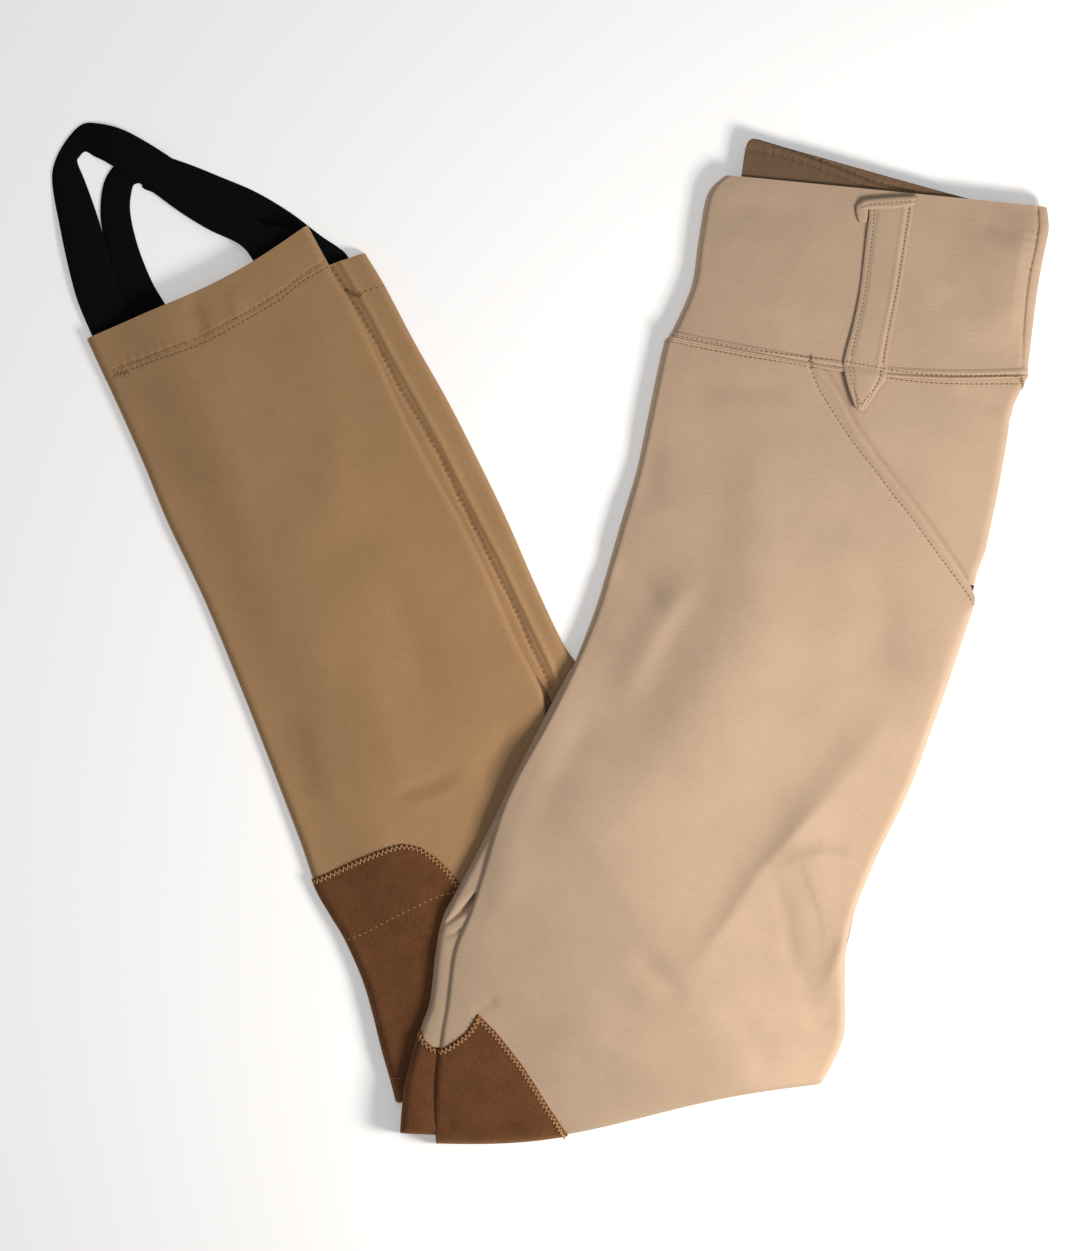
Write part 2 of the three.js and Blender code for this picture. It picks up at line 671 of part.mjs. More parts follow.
core = core.add(solidOf(filling(underFill, {
  from: FIRST_STEP, to: UNDER.length, columns: 3, deep,
})));
const tucked = ['pocket_facing_left', 'thigh_edge_right', 'knee_patch_right_thigh', 'calf_panel_right', 'calf_panel_left',
  'hem_left'];
for (const name of tucked) {
  const [layer, size] = parts[name];
  core = core.subtract(solidOf(wall(layer, { ...size, clear: GAP + 0.1 })));
}
const strapRoom = (rows) => ribbon(rows.map(([x1, y1, x2, y2, z]) => {
  const long = Math.hypot(x2 - x1, y2 - y1);
  const ex = (x2 - x1) / long;
  const ey = (y2 - y1) / long;
  return [x1 - ex, y1 - ey, x2 + ex, y2 + ey, z];
}), WEB + 2 * GAP);
for (const rows of [STRAP_RIGHT, STRAP_LEFT]) {
  core = core.subtract(solidOf(strapRoom(rows).translate(0, 0, -GAP)));
}
core = core.subtract(solidOf(wall(calfPatchLayer, { ...calfPatchSize, clear: GAP })));
const bodies = core.decompose().sort((a, b) => b.volume() - a.volume());
add('folded_layers', geometryOf(bodies[0]), 'lining');

export default group;
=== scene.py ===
import math

import bmesh
import bpy
import numpy as np
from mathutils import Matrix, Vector, noise
from mathutils.bvhtree import BVHTree


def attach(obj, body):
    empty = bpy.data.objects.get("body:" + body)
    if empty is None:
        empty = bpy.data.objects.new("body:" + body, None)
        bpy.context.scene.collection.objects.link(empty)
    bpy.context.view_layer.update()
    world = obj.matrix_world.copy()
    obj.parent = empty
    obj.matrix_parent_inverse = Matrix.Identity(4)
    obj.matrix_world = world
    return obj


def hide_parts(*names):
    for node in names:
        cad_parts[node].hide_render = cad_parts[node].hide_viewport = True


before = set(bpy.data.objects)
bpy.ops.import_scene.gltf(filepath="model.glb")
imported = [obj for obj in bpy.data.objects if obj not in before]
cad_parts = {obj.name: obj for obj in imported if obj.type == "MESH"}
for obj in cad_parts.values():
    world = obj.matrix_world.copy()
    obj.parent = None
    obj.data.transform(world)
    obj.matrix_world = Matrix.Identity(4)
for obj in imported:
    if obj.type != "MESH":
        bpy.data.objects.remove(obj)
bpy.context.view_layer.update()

print("frame loaded")

# Sizes in millimetres. The outlines are those of the solids, while the far leg lies closer
# and the folds are stronger here. Tables are in half-millimetre squares of the laying grid,
# counted right and down, and gridMiddle is the garment's middle on it.
squareMm = 0.5
gridMiddle = (549.5, 633.3)
waistStack = 10.0
kneeRise = 8.0
calfStack = 9.5
lowerCalf = 4.7
farStep = 3.0
kneeRoll = 10.0


def mmX(x):
    return (np.asarray(x, float) - gridMiddle[0]) * squareMm


def mmY(y):
    return (gridMiddle[1] - np.asarray(y, float)) * squareMm


def ease(low, high, v):
    t = np.clip((v - low) / (high - low), 0, 1)
    return t * t * (3 - 2 * t)


def mix(a, b, t):
    return a + (b - a) * t


# A table of sections across a piece, read at any distance along its middle.
class Sections:
    def __init__(self, columns, rows):
        data = np.array(rows, float)
        for i, name in enumerate(columns):
            if name in ("leftX", "rightX"):
                data[:, i] = mmX(data[:, i])
            if name in ("leftY", "rightY"):
                data[:, i] = mmY(data[:, i])
        self.columns = columns
        self.data = data
        at = {n: data[:, i] for i, n in enumerate(columns)}
        midX = (at["leftX"] + at["rightX"]) / 2
        midY = (at["leftY"] + at["rightY"]) / 2
        steps = np.hypot(np.diff(midX), np.diff(midY))
        self.along = np.concatenate([[0.0], np.cumsum(steps)])
        self.length = float(self.along[-1])

    def at(self, s):
        s = np.asarray(s, float)
        last = len(self.data) - 1
        i = np.clip(np.searchsorted(self.along, s, side="left"), 1, last)
        t = (s - self.along[i - 1]) / (self.along[i] - self.along[i - 1])
        out = {}
        for k, name in enumerate(self.columns):
            col = self.data[:, k]
            a = col[np.clip(i - 2, 0, last)]
            b = col[i - 1]
            c = col[i]
            d = col[np.clip(i + 1, 0, last)]
            curve = 0.5 * (
                2 * b
                + (c - a) * t
                + (2 * a - 5 * b + 4 * c - d) * t**2
                + (3 * b - a - 3 * c + d) * t**3
            )
            out[name] = np.where((t < 0) | (t > 1), mix(b, c, t), curve)
        return out


# Folds
# Soft ridges, or troughs where rise is under 0, each along a line of grid squares. Its
# left and right widths are in squares, as the line runs, rise is in mm, and a crest under 2
# is a sharp one. Each fades at both ends.
foldTable = [
    # the broad fold down the thigh, and the ones that fan out to the knee
    ([(810, 500), (750, 620), (690, 730), (620, 830), (565, 900)], 76, 56, 5.67, 2),
    ([(905, 700), (870, 742), (826, 796), (786, 838), (757, 874)], 30, 24, 3.1, 1.6),
    ([(850, 778), (808, 818), (757, 874), (729, 917), (704, 950), (668, 990)], 40, 13, 2.7, 1.3),
    (
        [(925, 905), (884, 882), (864, 869), (845, 859), (822, 854), (798, 858), (768, 876)], 40,
        12, 4.2, 1.4,
    ),
    ([(955, 590), (935, 690), (908, 780), (884, 858)], 16, 44, 2.7, 2),
    ([(630, 945), (660, 975), (690, 1004)], 13, 13, -1.35, 2),
    # the pull lines from the crotch
    ([(596, 556), (640, 584), (676, 616)], 15, 13, -1.76, 2),
    ([(712, 556), (668, 608), (636, 668), (612, 716)], 15, 20, 1.76, 2),
    ([(655, 430), (648, 470), (650, 520)], 16, 18, -1.08, 2),
    # the waistband
    ([(1026, 205), (1014, 270), (1004, 360)], 14, 50, 3.51, 2),
    ([(705, 205), (760, 208), (820, 218)], 12, 14, -0.68, 2),
    ([(705, 240), (740, 243), (790, 250)], 12, 12, 0.54, 2),
    ([(975, 218), (1000, 231), (1020, 242)], 9, 9, -0.68, 2),
    # the lower legs
    ([(520, 715), (500, 752), (470, 790)], 14, 14, -1.35, 2),
    ([(385, 796), (420, 786), (462, 770)], 6, 7, -0.81, 2),
]
creaseTable = [
    ([(768, 868), (785, 911), (797, 986)], 8, 8, -0.81, 2),
    ([(856, 925), (838, 954), (824, 994)], 16, 7, 1.62, 1.5),
    ([(808, 952), (806, 990), (816, 1030)], 12, 10, -0.54, 2),
    ([(845, 1000), (826, 1020), (800, 1030)], 12, 10, -0.81, 2),
    ([(590, 985), (640, 1010), (710, 1020)], 14, 12, -0.81, 2),
    ([(550, 1010), (600, 1040), (660, 1064)], 16, 14, 0.68, 2),
    ([(725, 1000), (756, 1040), (770, 1090)], 14, 12, -0.81, 2),
    ([(520, 800), (505, 860), (500, 930)], 20, 16, 0.94, 2),
    ([(600, 690), (566, 760), (530, 830)], 18, 16, -1.08, 2),
    ([(760, 430), (750, 520), (735, 600)], 30, 26, 1.22, 2),
    ([(870, 540), (884, 620), (872, 700)], 22, 26, -1.22, 2),
    ([(680, 378), (740, 388), (810, 392)], 12, 12, -0.81, 2),
    ([(950, 388), (980, 400), (1010, 412)], 10, 10, -0.81, 2),
    ([(745, 300), (800, 310), (845, 320)], 16, 14, 0.54, 2),
    ([(920, 298), (960, 304), (1000, 314)], 14, 14, -0.68, 2),
    ([(395, 805), (430, 800), (470, 784)], 7, 7, 0.68, 2),
    ([(340, 400), (332, 470), (334, 540)], 20, 20, 0.81, 2),
    ([(250, 470), (276, 560), (306, 650)], 18, 18, -0.68, 2),
    ([(380, 560), (406, 630), (430, 700)], 18, 18, -0.81, 2),
    ([(300, 700), (322, 760), (344, 830)], 16, 16, 0.81, 2),
    ([(350, 640), (384, 730), (418, 820)], 22, 22, 0.81, 2),
    ([(184, 294), (196, 316), (206, 346)], 10, 10, -1.22, 2),
    ([(225, 285), (236, 300), (240, 330)], 9, 9, 0.54, 2),
]


def foldRise(x, y, table):
    total = np.zeros_like(x, dtype=float)
    for points, left, right, rise, crest in table:
        dist, along, side = lineDistance(x, y, points)
        run = sum(math.dist(a, b) for a, b in zip(points[:-1], points[1:])) * squareMm
        fade = ease(0, 0.35, along / run) * ease(0, 0.35, 1 - along / run)
        wide = np.where(side > 0, right, left) * squareMm
        total += rise * fade * np.exp(-((dist / wide) ** crest))
    return total


# Distance in mm to a line of grid squares, how far along it, and on which side.
def lineDistance(x, y, points):
    best = np.full(np.shape(x), 1e9)
    along = np.zeros(np.shape(x))
    side = np.zeros(np.shape(x))
    start = 0.0
    px, py = mmX([p[0] for p in points]), mmY([p[1] for p in points])
    for ax, ay, bx, by in zip(px[:-1], py[:-1], px[1:], py[1:]):
        dx, dy = bx - ax, by - ay
        run = math.hypot(dx, dy)
        t = np.clip(((x - ax) * dx + (y - ay) * dy) / run**2, 0, 1)
        d = np.hypot(x - ax - t * dx, y - ay - t * dy)
        near = d < best
        along = np.where(near, start + t * run, along)
        side = np.where(near, (x - ax) * dy - (y - ay) * dx, side)
        best = np.minimum(best, d)
        start += run
    return best, along, side


hiddenEdge = (12.5, -13.2, -0.848, -0.53)


def thighTop(x, y):
    over = (x - hiddenEdge[0]) * hiddenEdge[2] + (y - hiddenEdge[1]) * hiddenEdge[3]
    return waistStack + kneeRise * ease(-15, 45, over) + foldRise(x, y, foldTable)


# Section tables
nearLeg = Sections(
    ["leftX", "leftY", "rightX", "rightY", "bow", "skew"]
    + ["leftMid", "rightMid", "leftRoll", "rightRoll", "rim"],
    [
        (724, 175, 1048, 207, 0, 0, 1, 5, 3, 4, 0.3),
        (708, 193, 1050, 228, -1, 0, 1, 5, 3, 4.5, 0.32),
        (699, 240, 1045, 254, -2, 0, 1, 5, 3, 4.5, 0.34),
        (692, 285, 1038, 294, -3.5, 0.4, 1, 5, 3, 4.5, 0.37),
        (672, 331, 1029, 368, -6.4, 0.8, 1, 5, 3, 4.5, 0.41),
        (665, 341, 1028, 378, -6.4, 0.8, 1, 5, 3, 4.5, 0.43),
        (658, 370, 1013, 410, -4.5, 0.4, 1, 5, 3, 4.5, 0.505),
        (648, 418, 1008, 442, -2.5, 0, 1, 5, 3, 4.5, 0.585),
        (637, 470, 999, 492, -1, 0, 1, 5, 3, 4.5, 0.713),
        (622, 520, 989, 540, 0, 0, 1, 5, 3, 4.5, 0.856),
        (607, 572, 978, 590, 0, 0, 1, 5, 3, 4.5, 0.984),
        (596, 608, 972, 615, 0, 0, 1.6, 5, 3, 4.5, 1),
        (582, 645, 962, 645, 0, 0, 4, 5, 3, 4.5, 1),
        (567, 680, 945, 695, 0, 0, 8.6, 5, 3, 4.5, 1),
        (545, 725, 933, 728, 0, 0, 12.5, 5, 2.0, 4.5, 1),
        (520, 770, 918, 770, 0, 0, 15.2, 5, 1.8, 4.5, 1),
        (500, 815, 902, 808, 0, 0, 15.2, 5, 1.8, 4.5, 1),
        (484, 868, 880, 852, 0, 0, 15.2, 5, 1.8, 4.5, 1),
        (470, 912, 858, 905, 0, 0, 15.2, 5, 1.8, 4.5, 1),
        (455, 950, 847, 950, 0, 0, 15.2, 5, 1.8, 4.5, 1),
        (448, 1000, 846, 1000, 0, 0, 15.2, 5, 1.8, 4.5, 1),
        (441, 1042, 845, 1036, -1, 0, 15.2, 4, 2.4, 4.5, 1),
        (437, 1090, 834, 1064, -2, -1.5, 15.2, 2, 2.4, 4.5, 1),
        (438, 1143, 822, 1086, -3.8, -3.2, 15.2, 1, 2.4, 4.5, 1),
    ],
)
bandEnd = float(nearLeg.along[4])
panelStart = float(nearLeg.along[5])
pocketEnd = float(nearLeg.along[10])

calfLeg = Sections(
    ["leftX", "leftY", "rightX", "rightY", "bow", "rightOpen", "edgeTop", "skew"],
    [
        (85, 338, 307, 225, -4.9, 0, 5.2, 1.0),
        (104, 379, 330, 267, -4.2, 0, 5.2, 0.8),
        (125, 425, 354, 307, -3, 0, 5.2, 0.4),
        (143, 466, 380, 360, -1, 0, 5.2, 0),
        (165, 520, 405, 415, 0, 0, 5.2, 0),
        (196, 585, 438, 478, 0, 0, 5.2, 0),
        (214, 626, 462, 520, 0, 0, 5.2, 0),
        (232, 670, 488, 573, 0, 0, 5.2, 0),
        (256, 730, 517, 640, 0, 0, 5.2, 0),
        (281, 795, 545, 702, 0, 0.3, 5.4, 0),
        (300, 845, 540, 768, 0, 1, 5.8, 0),
        (315, 888, 514, 822, 0, 1, 6, 0),
        (330, 915, 497, 860, 0, 1, 6.4, 0),
        (345, 940, 484, 895, 0, 1, 6.8, 0),
        (362, 978, 465, 935, 0, 1, 7.4, 0),
        (372, 1010, 455, 975, 0, 1, 8, 0),
        (382, 1050, 450, 1020, 0, 1, 8.4, 0),
        (390, 1078, 440, 1058, 0, 1, 8.6, 0),
        (397, 1105, 425, 1094, 0, 1, 8.6, 0),
    ],
)
hemEnd = float(calfLeg.along[1])

underLeg = Sections(
    ["leftX", "leftY", "rightX", "rightY"],
    [
        (315, 269, 364, 251.5),
        (338, 309, 386, 288),
        (364, 362, 414, 341),
        (392, 418, 448, 401),
        (428, 484, 483, 470),
        (452, 528, 508, 522),
        (480, 586, 536, 586),
        (508, 646, 563, 643),
        (531, 694, 580, 668),
        (546, 724, 592, 694),
    ],
)
underHemEnd = float(underLeg.along[1])

farLeg = Sections(
    ["leftX", "leftY", "rightX", "rightY", "leftMid"],
    [
        (571, 668, 584, 676, 5.2),
        (545, 716, 562, 728, 9.9),
        (516, 772, 536, 780, 9.9),
        (492, 822, 514, 828, 9.9),
        (474, 858, 504, 862, 11.2),
        (458, 888, 494, 896, 11.2),
        (443, 917, 486, 922, 11.2),
        (436, 950, 472, 954, 11.2),
        (430, 1000, 462, 1003, 11.2),
        (422, 1024, 457, 1032, 11.2),
        (412, 1058, 452, 1062, 11.2),
        (405, 1090, 450, 1092, 11.2),
        (401, 1134, 450, 1136, 11.2),
    ],
)
sliverStart = float(farLeg.along[9])

backBand = Sections(
    ["leftX", "leftY", "rightX", "rightY", "bow"],
    [
        (749, 136, 1026, 214, -0.5),
        (745, 152, 1028, 230, 0),
        (742, 172, 1028, 250, 0),
        (736, 210, 1026, 274, 0),
        (728, 250, 1020, 298, 0),
    ],
)


# Layers
def topThigh(x, y, d, r, s):
    return thighTop(x, y)


def topCalf(x, y, d, r, s):
    return mix(r["edgeTop"], calfStack, ease(8, 45, d)) + foldRise(x, y, foldTable)


def topUnder(x, y, d, r, s):
    return lowerCalf + 0 * x


def topFar(x, y, d, r, s):
    return thighTop(x, y) - farStep


def topBackBand(x, y, d, r, s):
    return waistStack - 1.6 - 0.3 * (1 - ease(0, 16, s)) + 0 * x


def topFacing(x, y, d, r, s):
    return thighTop(x, y) - 1.6


def whole(s, r, wide):
    return dict(low=0 * wide, high=wide, cutLow=0.0, cutHigh=0.0)


def toRim(s, r, wide):
    late = pocketEnd + 4
    cut = np.where(s < late, 1.0, 1 - ease(0, 14, s - late))
    return dict(low=0 * wide, high=np.clip(r["rim"], 0, 1) * wide, cutLow=0.0, cutHigh=cut)


def roundCorner(s, r, wide):
    back = np.clip(1 - s / 5, 0, 1)
    low = 5 * (1 - np.sqrt(np.clip(1 - back**2, 0, 1)))
    return dict(low=low + 0 * wide, high=wide, cutLow=0.0, cutHigh=0.0)


def pastRim(s, r, wide):
    under = 1.8 * ease(pocketEnd - 22, pocketEnd - 8, s)
    return dict(low=r["rim"] * wide - 6, high=wide - under, cutLow=1.0, cutHigh=0.0)


nearLayer = dict(run=nearLeg, top=topThigh, endRoll=kneeRoll, endMid=1.0)
frontLayer = dict(nearLayer, limit=toRim)
facingLayer = dict(nearLayer, top=topFacing, limit=pastRim)
calfLayer = dict(
    run=calfLeg,
    top=topCalf,
    rolls=dict(leftMid=0.9, leftRoll=4.0, rightMid=5.2, rightRoll=3.5),
)
underLayer = dict(
    run=underLeg,
    top=topUnder,
    rolls=dict(leftMid=0.9, leftRoll=3.0, rightMid=0.9, rightRoll=3.5, leftOpen=1.0),
)
farLayer = dict(
    run=farLeg,
    top=topFar,
    rolls=dict(leftRoll=3.5, rightOpen=1.0, rightMid=5.0, rightRoll=3.0),
    endRoll=7.0,
    endMid=1.0,
)
backBandLayer = dict(
    run=backBand,
    limit=roundCorner,
    top=topBackBand,
    rolls=dict(
        leftOpen=1.0, rightOpen=1.0, leftMid=1.0, rightMid=1.0, leftRoll=3.0, rightRoll=3.0
    ),
)


# Station and end angle at walking length w: along the layer, then round its end.
def walk(layer, w, stop, deep, rolled):
    if not rolled:
        return w, np.full(np.shape(w), np.pi / 2)
    roll = layer["endRoll"] - deep
    flatEnd = stop - deep - roll
    angle = np.pi / 2 - np.clip((w - flatEnd) / roll, 0, np.pi / 2)
    return np.where(w < flatEnd, w, stop - deep - roll * (1 - np.cos(angle))), angle


def walkEnd(layer, stop, deep, rolled):
    roll = layer["endRoll"] - deep if rolled else 0.0
    return stop - deep - roll + roll * np.pi / 2 if rolled else stop


# Points of a layer on a grid: rows run along it and columns across it, in mm.
def layerPoints(layer, w, columns, stop, deep, rolled=False, relief=None):
    s, endAngle = walk(layer, w, stop, deep, rolled)
    side, angle, part = (np.broadcast_to(c[None, :], s.shape) for c in columns)
    r = dict(bow=0.0, skew=0.0, leftOpen=0.0, rightOpen=0.0)
    r.update(layer["run"].at(s))
    r.update(layer.get("rolls", {}))
    wide = np.hypot(r["rightX"] - r["leftX"], r["rightY"] - r["leftY"])
    lim = layer.get("limit", whole)(s, r, wide)
    openL = np.clip(np.maximum(r["leftOpen"], lim["cutLow"]), 0, 1)
    openR = np.clip(np.maximum(r["rightOpen"], lim["cutHigh"]), 0, 1)
    rollL = (r["leftRoll"] - deep) * (1 - openL) + 0.6 * openL
    rollR = (r["rightRoll"] - deep) * (1 - openR) + 0.6 * openR
    start = lim["low"] + deep * (1 - openL)
    last = lim["high"] - deep * (1 - openR)
    d = mix(start + rollL, last - rollR, part)
    d = np.where(side < 0, start + rollL * (1 - np.cos(angle)), d)
    d = np.where(side > 0, last - rollR * (1 - np.cos(angle)), d)
    u = d / wide
    x = mix(r["leftX"], r["rightX"], u)
    y = mix(r["leftY"], r["rightY"], u)
    cu = np.clip(u, 0, 1)
    y = y + r["bow"] * np.sin(np.pi * cu) + r["skew"] * np.sin(2 * np.pi * cu)
    top = layer["top"](x, y, d, r, s) - deep
    if relief is not None:
        top = top + relief(x, y, d, s, wide)
    opened = np.where(side < 0, openL, openR)
    share = np.where(side == 0, 1.0, mix(np.sin(angle), 1.0, opened))
    mid = np.where(side < 0, r["leftMid"], r["rightMid"])
    z = np.where(side == 0, top, mid + (top - mid) * share)
    endMid = layer.get("endMid", 0)
    z = endMid + (z - endMid) * np.sin(endAngle)
    return np.stack([x, y, z], -1), d


# Columns across a layer: rolled steps at each edge, and even ones between unless
# crowd gives a share of the width after which they stand four times as close.
def columnsOf(count, rollSteps=6, low=0.0, high=1.0, crowd=None):
    a = np.arange(rollSteps) / rollSteps * np.pi / 2
    left = a if low <= 0 else a[:0]
    right = a[::-1] if high >= 1 else a[:0]
    side = np.concatenate([-np.ones(len(left)), np.zeros(count + 1), np.ones(len(right))])
    angle = np.concatenate([left, np.full(count + 1, np.pi / 2), right])
    inner = np.linspace(low, high, count + 1)
    if crowd is not None:
        few = int(count * crowd / (crowd + 4 * (1 - crowd)))
        inner = np.concatenate(
            [np.linspace(0, crowd, few + 1)[:-1], np.linspace(crowd, 1, count - few + 1)],
        )
    part = np.concatenate([np.zeros(len(left)), inner, np.ones(len(right))])
    return side, angle, part


# A closed shell from two matching grids in mm, with a map of mm along and across.
def meshFromGrids(name, upper, lower, uv):
    rows, cols = upper.shape[:2]
    points = np.concatenate([upper.reshape(-1, 3), lower.reshape(-1, 3)]) * 0.001
    i, j = np.meshgrid(np.arange(rows - 1), np.arange(cols - 1), indexing="ij")
    a = (i * cols + j).ravel()
    b = a + cols
    off = rows * cols
    faces = [
        np.stack([a, b, b + 1, a + 1], 1),
        np.stack([a, a + 1, b + 1, b], 1) + off,
    ]
    k = np.arange(rows - 1) * cols
    faces.append(np.stack([k + cols, k, k + off, k + cols + off], 1))
    k = k + cols - 1
    faces.append(np.stack([k, k + cols, k + cols + off, k + off], 1))
    k = np.arange(cols - 1)
    faces.append(np.stack([k, k + 1, k + 1 + off, k + off], 1))
    k = k + (rows - 1) * cols
    faces.append(np.stack([k + 1, k, k + off, k + 1 + off], 1))
    faces = np.concatenate(faces)
    mesh = bpy.data.meshes.new(name)
    mesh.from_pydata(points.tolist(), [], faces.tolist())
    flat = np.concatenate([uv.reshape(-1, 2), uv.reshape(-1, 2)])
    layer = mesh.uv_layers.new(name="clothMap")
    layer.data.foreach_set("uv", flat[faces.ravel()].ravel())
    bm = bmesh.new()
    bm.from_mesh(mesh)
    bmesh.ops.recalc_face_normals(bm, faces=bm.faces)
    bm.to_mesh(mesh)
    bm.free()
    mesh.polygons.foreach_set("use_smooth", np.ones(len(mesh.polygons), bool))
    rim = {frozenset((int(p), int(q))) for p, q in rimEdges(rows, cols, off)}
    sharp = np.array([frozenset(e.vertices) in rim for e in mesh.edges])
    mesh.attributes.new("sharp_edge", "BOOLEAN", "EDGE").data.foreach_set("value", sharp)
    mesh.update()
    piece = bpy.data.objects.new(name, mesh)
    bpy.context.scene.collection.objects.link(piece)
    return piece


def rimEdges(rows, cols, off):
    ring = [(0, j) for j in range(cols)] + [(i, cols - 1) for i in range(1, rows)]
    ring += [(rows - 1, j) for j in range(cols - 2, -1, -1)]
    ring += [(i, 0) for i in range(rows - 2, -1, -1)]
    ids = [i * cols + j for i, j in ring]
    for a, b in zip(ids[:-1], ids[1:]):
        yield a, b
        yield a + off, b + off


# The area in square metres of a grid of points in mm.
def areaOf(grid):
    a = grid[1:, :-1] - grid[:-1, :-1]
    b = grid[:-1, 1:] - grid[:-1, :-1]
    c = grid[1:, :-1] - grid[1:, 1:]
    d = grid[:-1, 1:] - grid[1:, 1:]
    both = np.linalg.norm(np.cross(a, b), axis=-1) + np.linalg.norm(np.cross(c, d), axis=-1)
    return float(both.sum()) / 2 * 1e-6


# Gentle uneven waves, size mm across, between about -1 and 1.
def softNoise(x, y, size, seed):
    flat = np.stack([x.ravel() / size, y.ravel() / size], 1)
    return np.array([noise.noise(Vector((p[0], p[1], seed))) for p in flat]).reshape(x.shape)


# Creases, slight unevenness, and a groove drawn in along each row of stitches.
def clothRelief(grooves=(), lumps=0.25, seed=1.0, softLeft=0.0, softEnd=None):
    def relief(x, y, d, s, wide):
        z = foldRise(x, y, creaseTable)
        z = z + lumps * softNoise(x, y, 32, seed) + 0.35 * lumps * softNoise(x, y, 11, seed + 4)
        z = z - softLeft * np.exp(-((d / 9) ** 2))
        if softEnd is not None:
            z = z - 2.0 * np.exp(-(((softEnd - s) / 18) ** 2))
        for points, width, depth in grooves:
            dist, along, _ = lineDistance(x, y, points)
            pull = 1 + 0.35 * np.sin(along * 2.1) * np.sin(along * 0.37 + seed)
            z = z - depth * pull * np.exp(-((dist / width) ** 2))
            z = z + 0.1 * np.sin(along * 1.3 + seed) * np.exp(-((dist / 5) ** 2))
        return z

    return relief


# One panel of cloth: its shell, material, body and the solid it stands for.
def clothPiece(name, layer, start, stop, step, count, material, slot, nodes, **more):
    thick = more.get("thick", 1.2)
    lift = more.get("lift", 0.0)
    rolled = more.get("rolled", False)
    relief = more.get("relief")
    edge = more.get("edge")
    columns = columnsOf(
        count, more.get("rollSteps", 6), 0.0, more.get("high", 1.0), more.get("crowd")
    )
    rows = max(2, int(round((walkEnd(layer, stop, -lift, rolled) - start) / step)) + 1)
    faces = []
    for deep in (-lift, thick - lift):
        last = walkEnd(layer, stop, deep, rolled)
        if edge is None:
            first = np.full(len(columns[0]), float(start))
        else:
            first = edgeAlong(layer, columns, start, last, stop, deep, rolled, edge)
        t = np.linspace(0, 1, rows)[:, None]
        w = mix(first[None, :], last, t)
        grid, d = layerPoints(layer, w, columns, stop, deep, rolled, relief)
        faces.append(grid)
        if deep == -lift:
            uv = np.stack([d, w], -1) * 0.001
    piece = meshFromGrids(name, faces[0], faces[1], uv)
    finishPiece(piece, material, nodes)
    keepSurface(name, faces[0])
    across = np.linalg.norm(np.diff(faces[0], axis=1), axis=-1).sum(1).max() * 0.001
    along = np.linalg.norm(np.diff(faces[0], axis=0), axis=-1).sum(0).max() * 0.001
    measured[name] = (across, along, areaOf(faces[0]))
    return piece


# Where each column first passes below a line of grid squares drawn across a layer.
def edgeAlong(layer, columns, start, last, stop, deep, rolled, edge):
    w = np.linspace(start, last, 500)[:, None] + np.zeros(len(columns[0]))[None, :]
    grid, _ = layerPoints(layer, w, columns, stop, deep, rolled)
    line = np.array(edge, float)
    below = np.interp(grid[..., 0], mmX(line[:, 0]), mmY(line[:, 1])) - grid[..., 1]
    passed = below > 0
    i = np.where(passed.any(0), passed.argmax(0), len(w) - 1)
    return np.minimum(w[i, 0], last - 1.0)


def keepSurface(name, grid):
    rows, cols = grid.shape[:2]
    i, j = np.meshgrid(np.arange(rows - 1), np.arange(cols - 1), indexing="ij")
    a = (i * cols + j).ravel()
    quads = np.stack([a, a + 1, a + cols + 1, a + cols], 1)
    surfaces[name] = BVHTree.FromPolygons(grid.reshape(-1, 3).tolist(), quads.tolist())


surfaces = {}
measured = {}


def finishPiece(piece, material, nodes):
    piece.data.materials.append(material)
    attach(piece, "root")
    if nodes:
        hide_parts(*nodes)


def declareSheet(name):
    across, along, area = measured[name]
    min(max(area, 0.31 * across * along), across * along)
    print(f"{name}: cut {across:.3f} by {along:.3f} m, {area:.4f} m2")


# Materials
# An sRGB hex colour as the linear one that the nodes take.
def linear(hexColour):
    value = int(hexColour.lstrip("#"), 16)
    parts = [(value >> k & 255) / 255 for k in (16, 8, 0)]
    return [p / 12.92 if p <= 0.04045 else ((p + 0.055) / 1.055) ** 2.4 for p in parts] + [1.0]


# A node with its label, place, settings and input values or links.
def addNode(tree, kind, label, place, inputs=None, **settings):
    node = tree.nodes.new(kind)
    node.label = label
    node.location = place
    for key, value in settings.items():
        setattr(node, key, value)
    for key, value in (inputs or {}).items():
        if isinstance(value, bpy.types.NodeSocket):
            tree.links.new(value, node.inputs[key])
        else:
            node.inputs[key].default_value = value
    return node


def newMaterial(name):
    material = bpy.data.materials.new(name)
    material.use_nodes = True
    tree = material.node_tree
    tree.nodes.clear()
    return material, tree


clothLook = {
    "colour": "#C3A88D",
    "shadeColour": "#B3987E",
    "dashMm": 5.0,
    "ribMm": 0.75,
    "ribBump": 0.3,
    "crepeMm": 1.4,
    "crepeBump": 0.22,
    "roughness": 0.85,
    "sheen": 0.15,
}
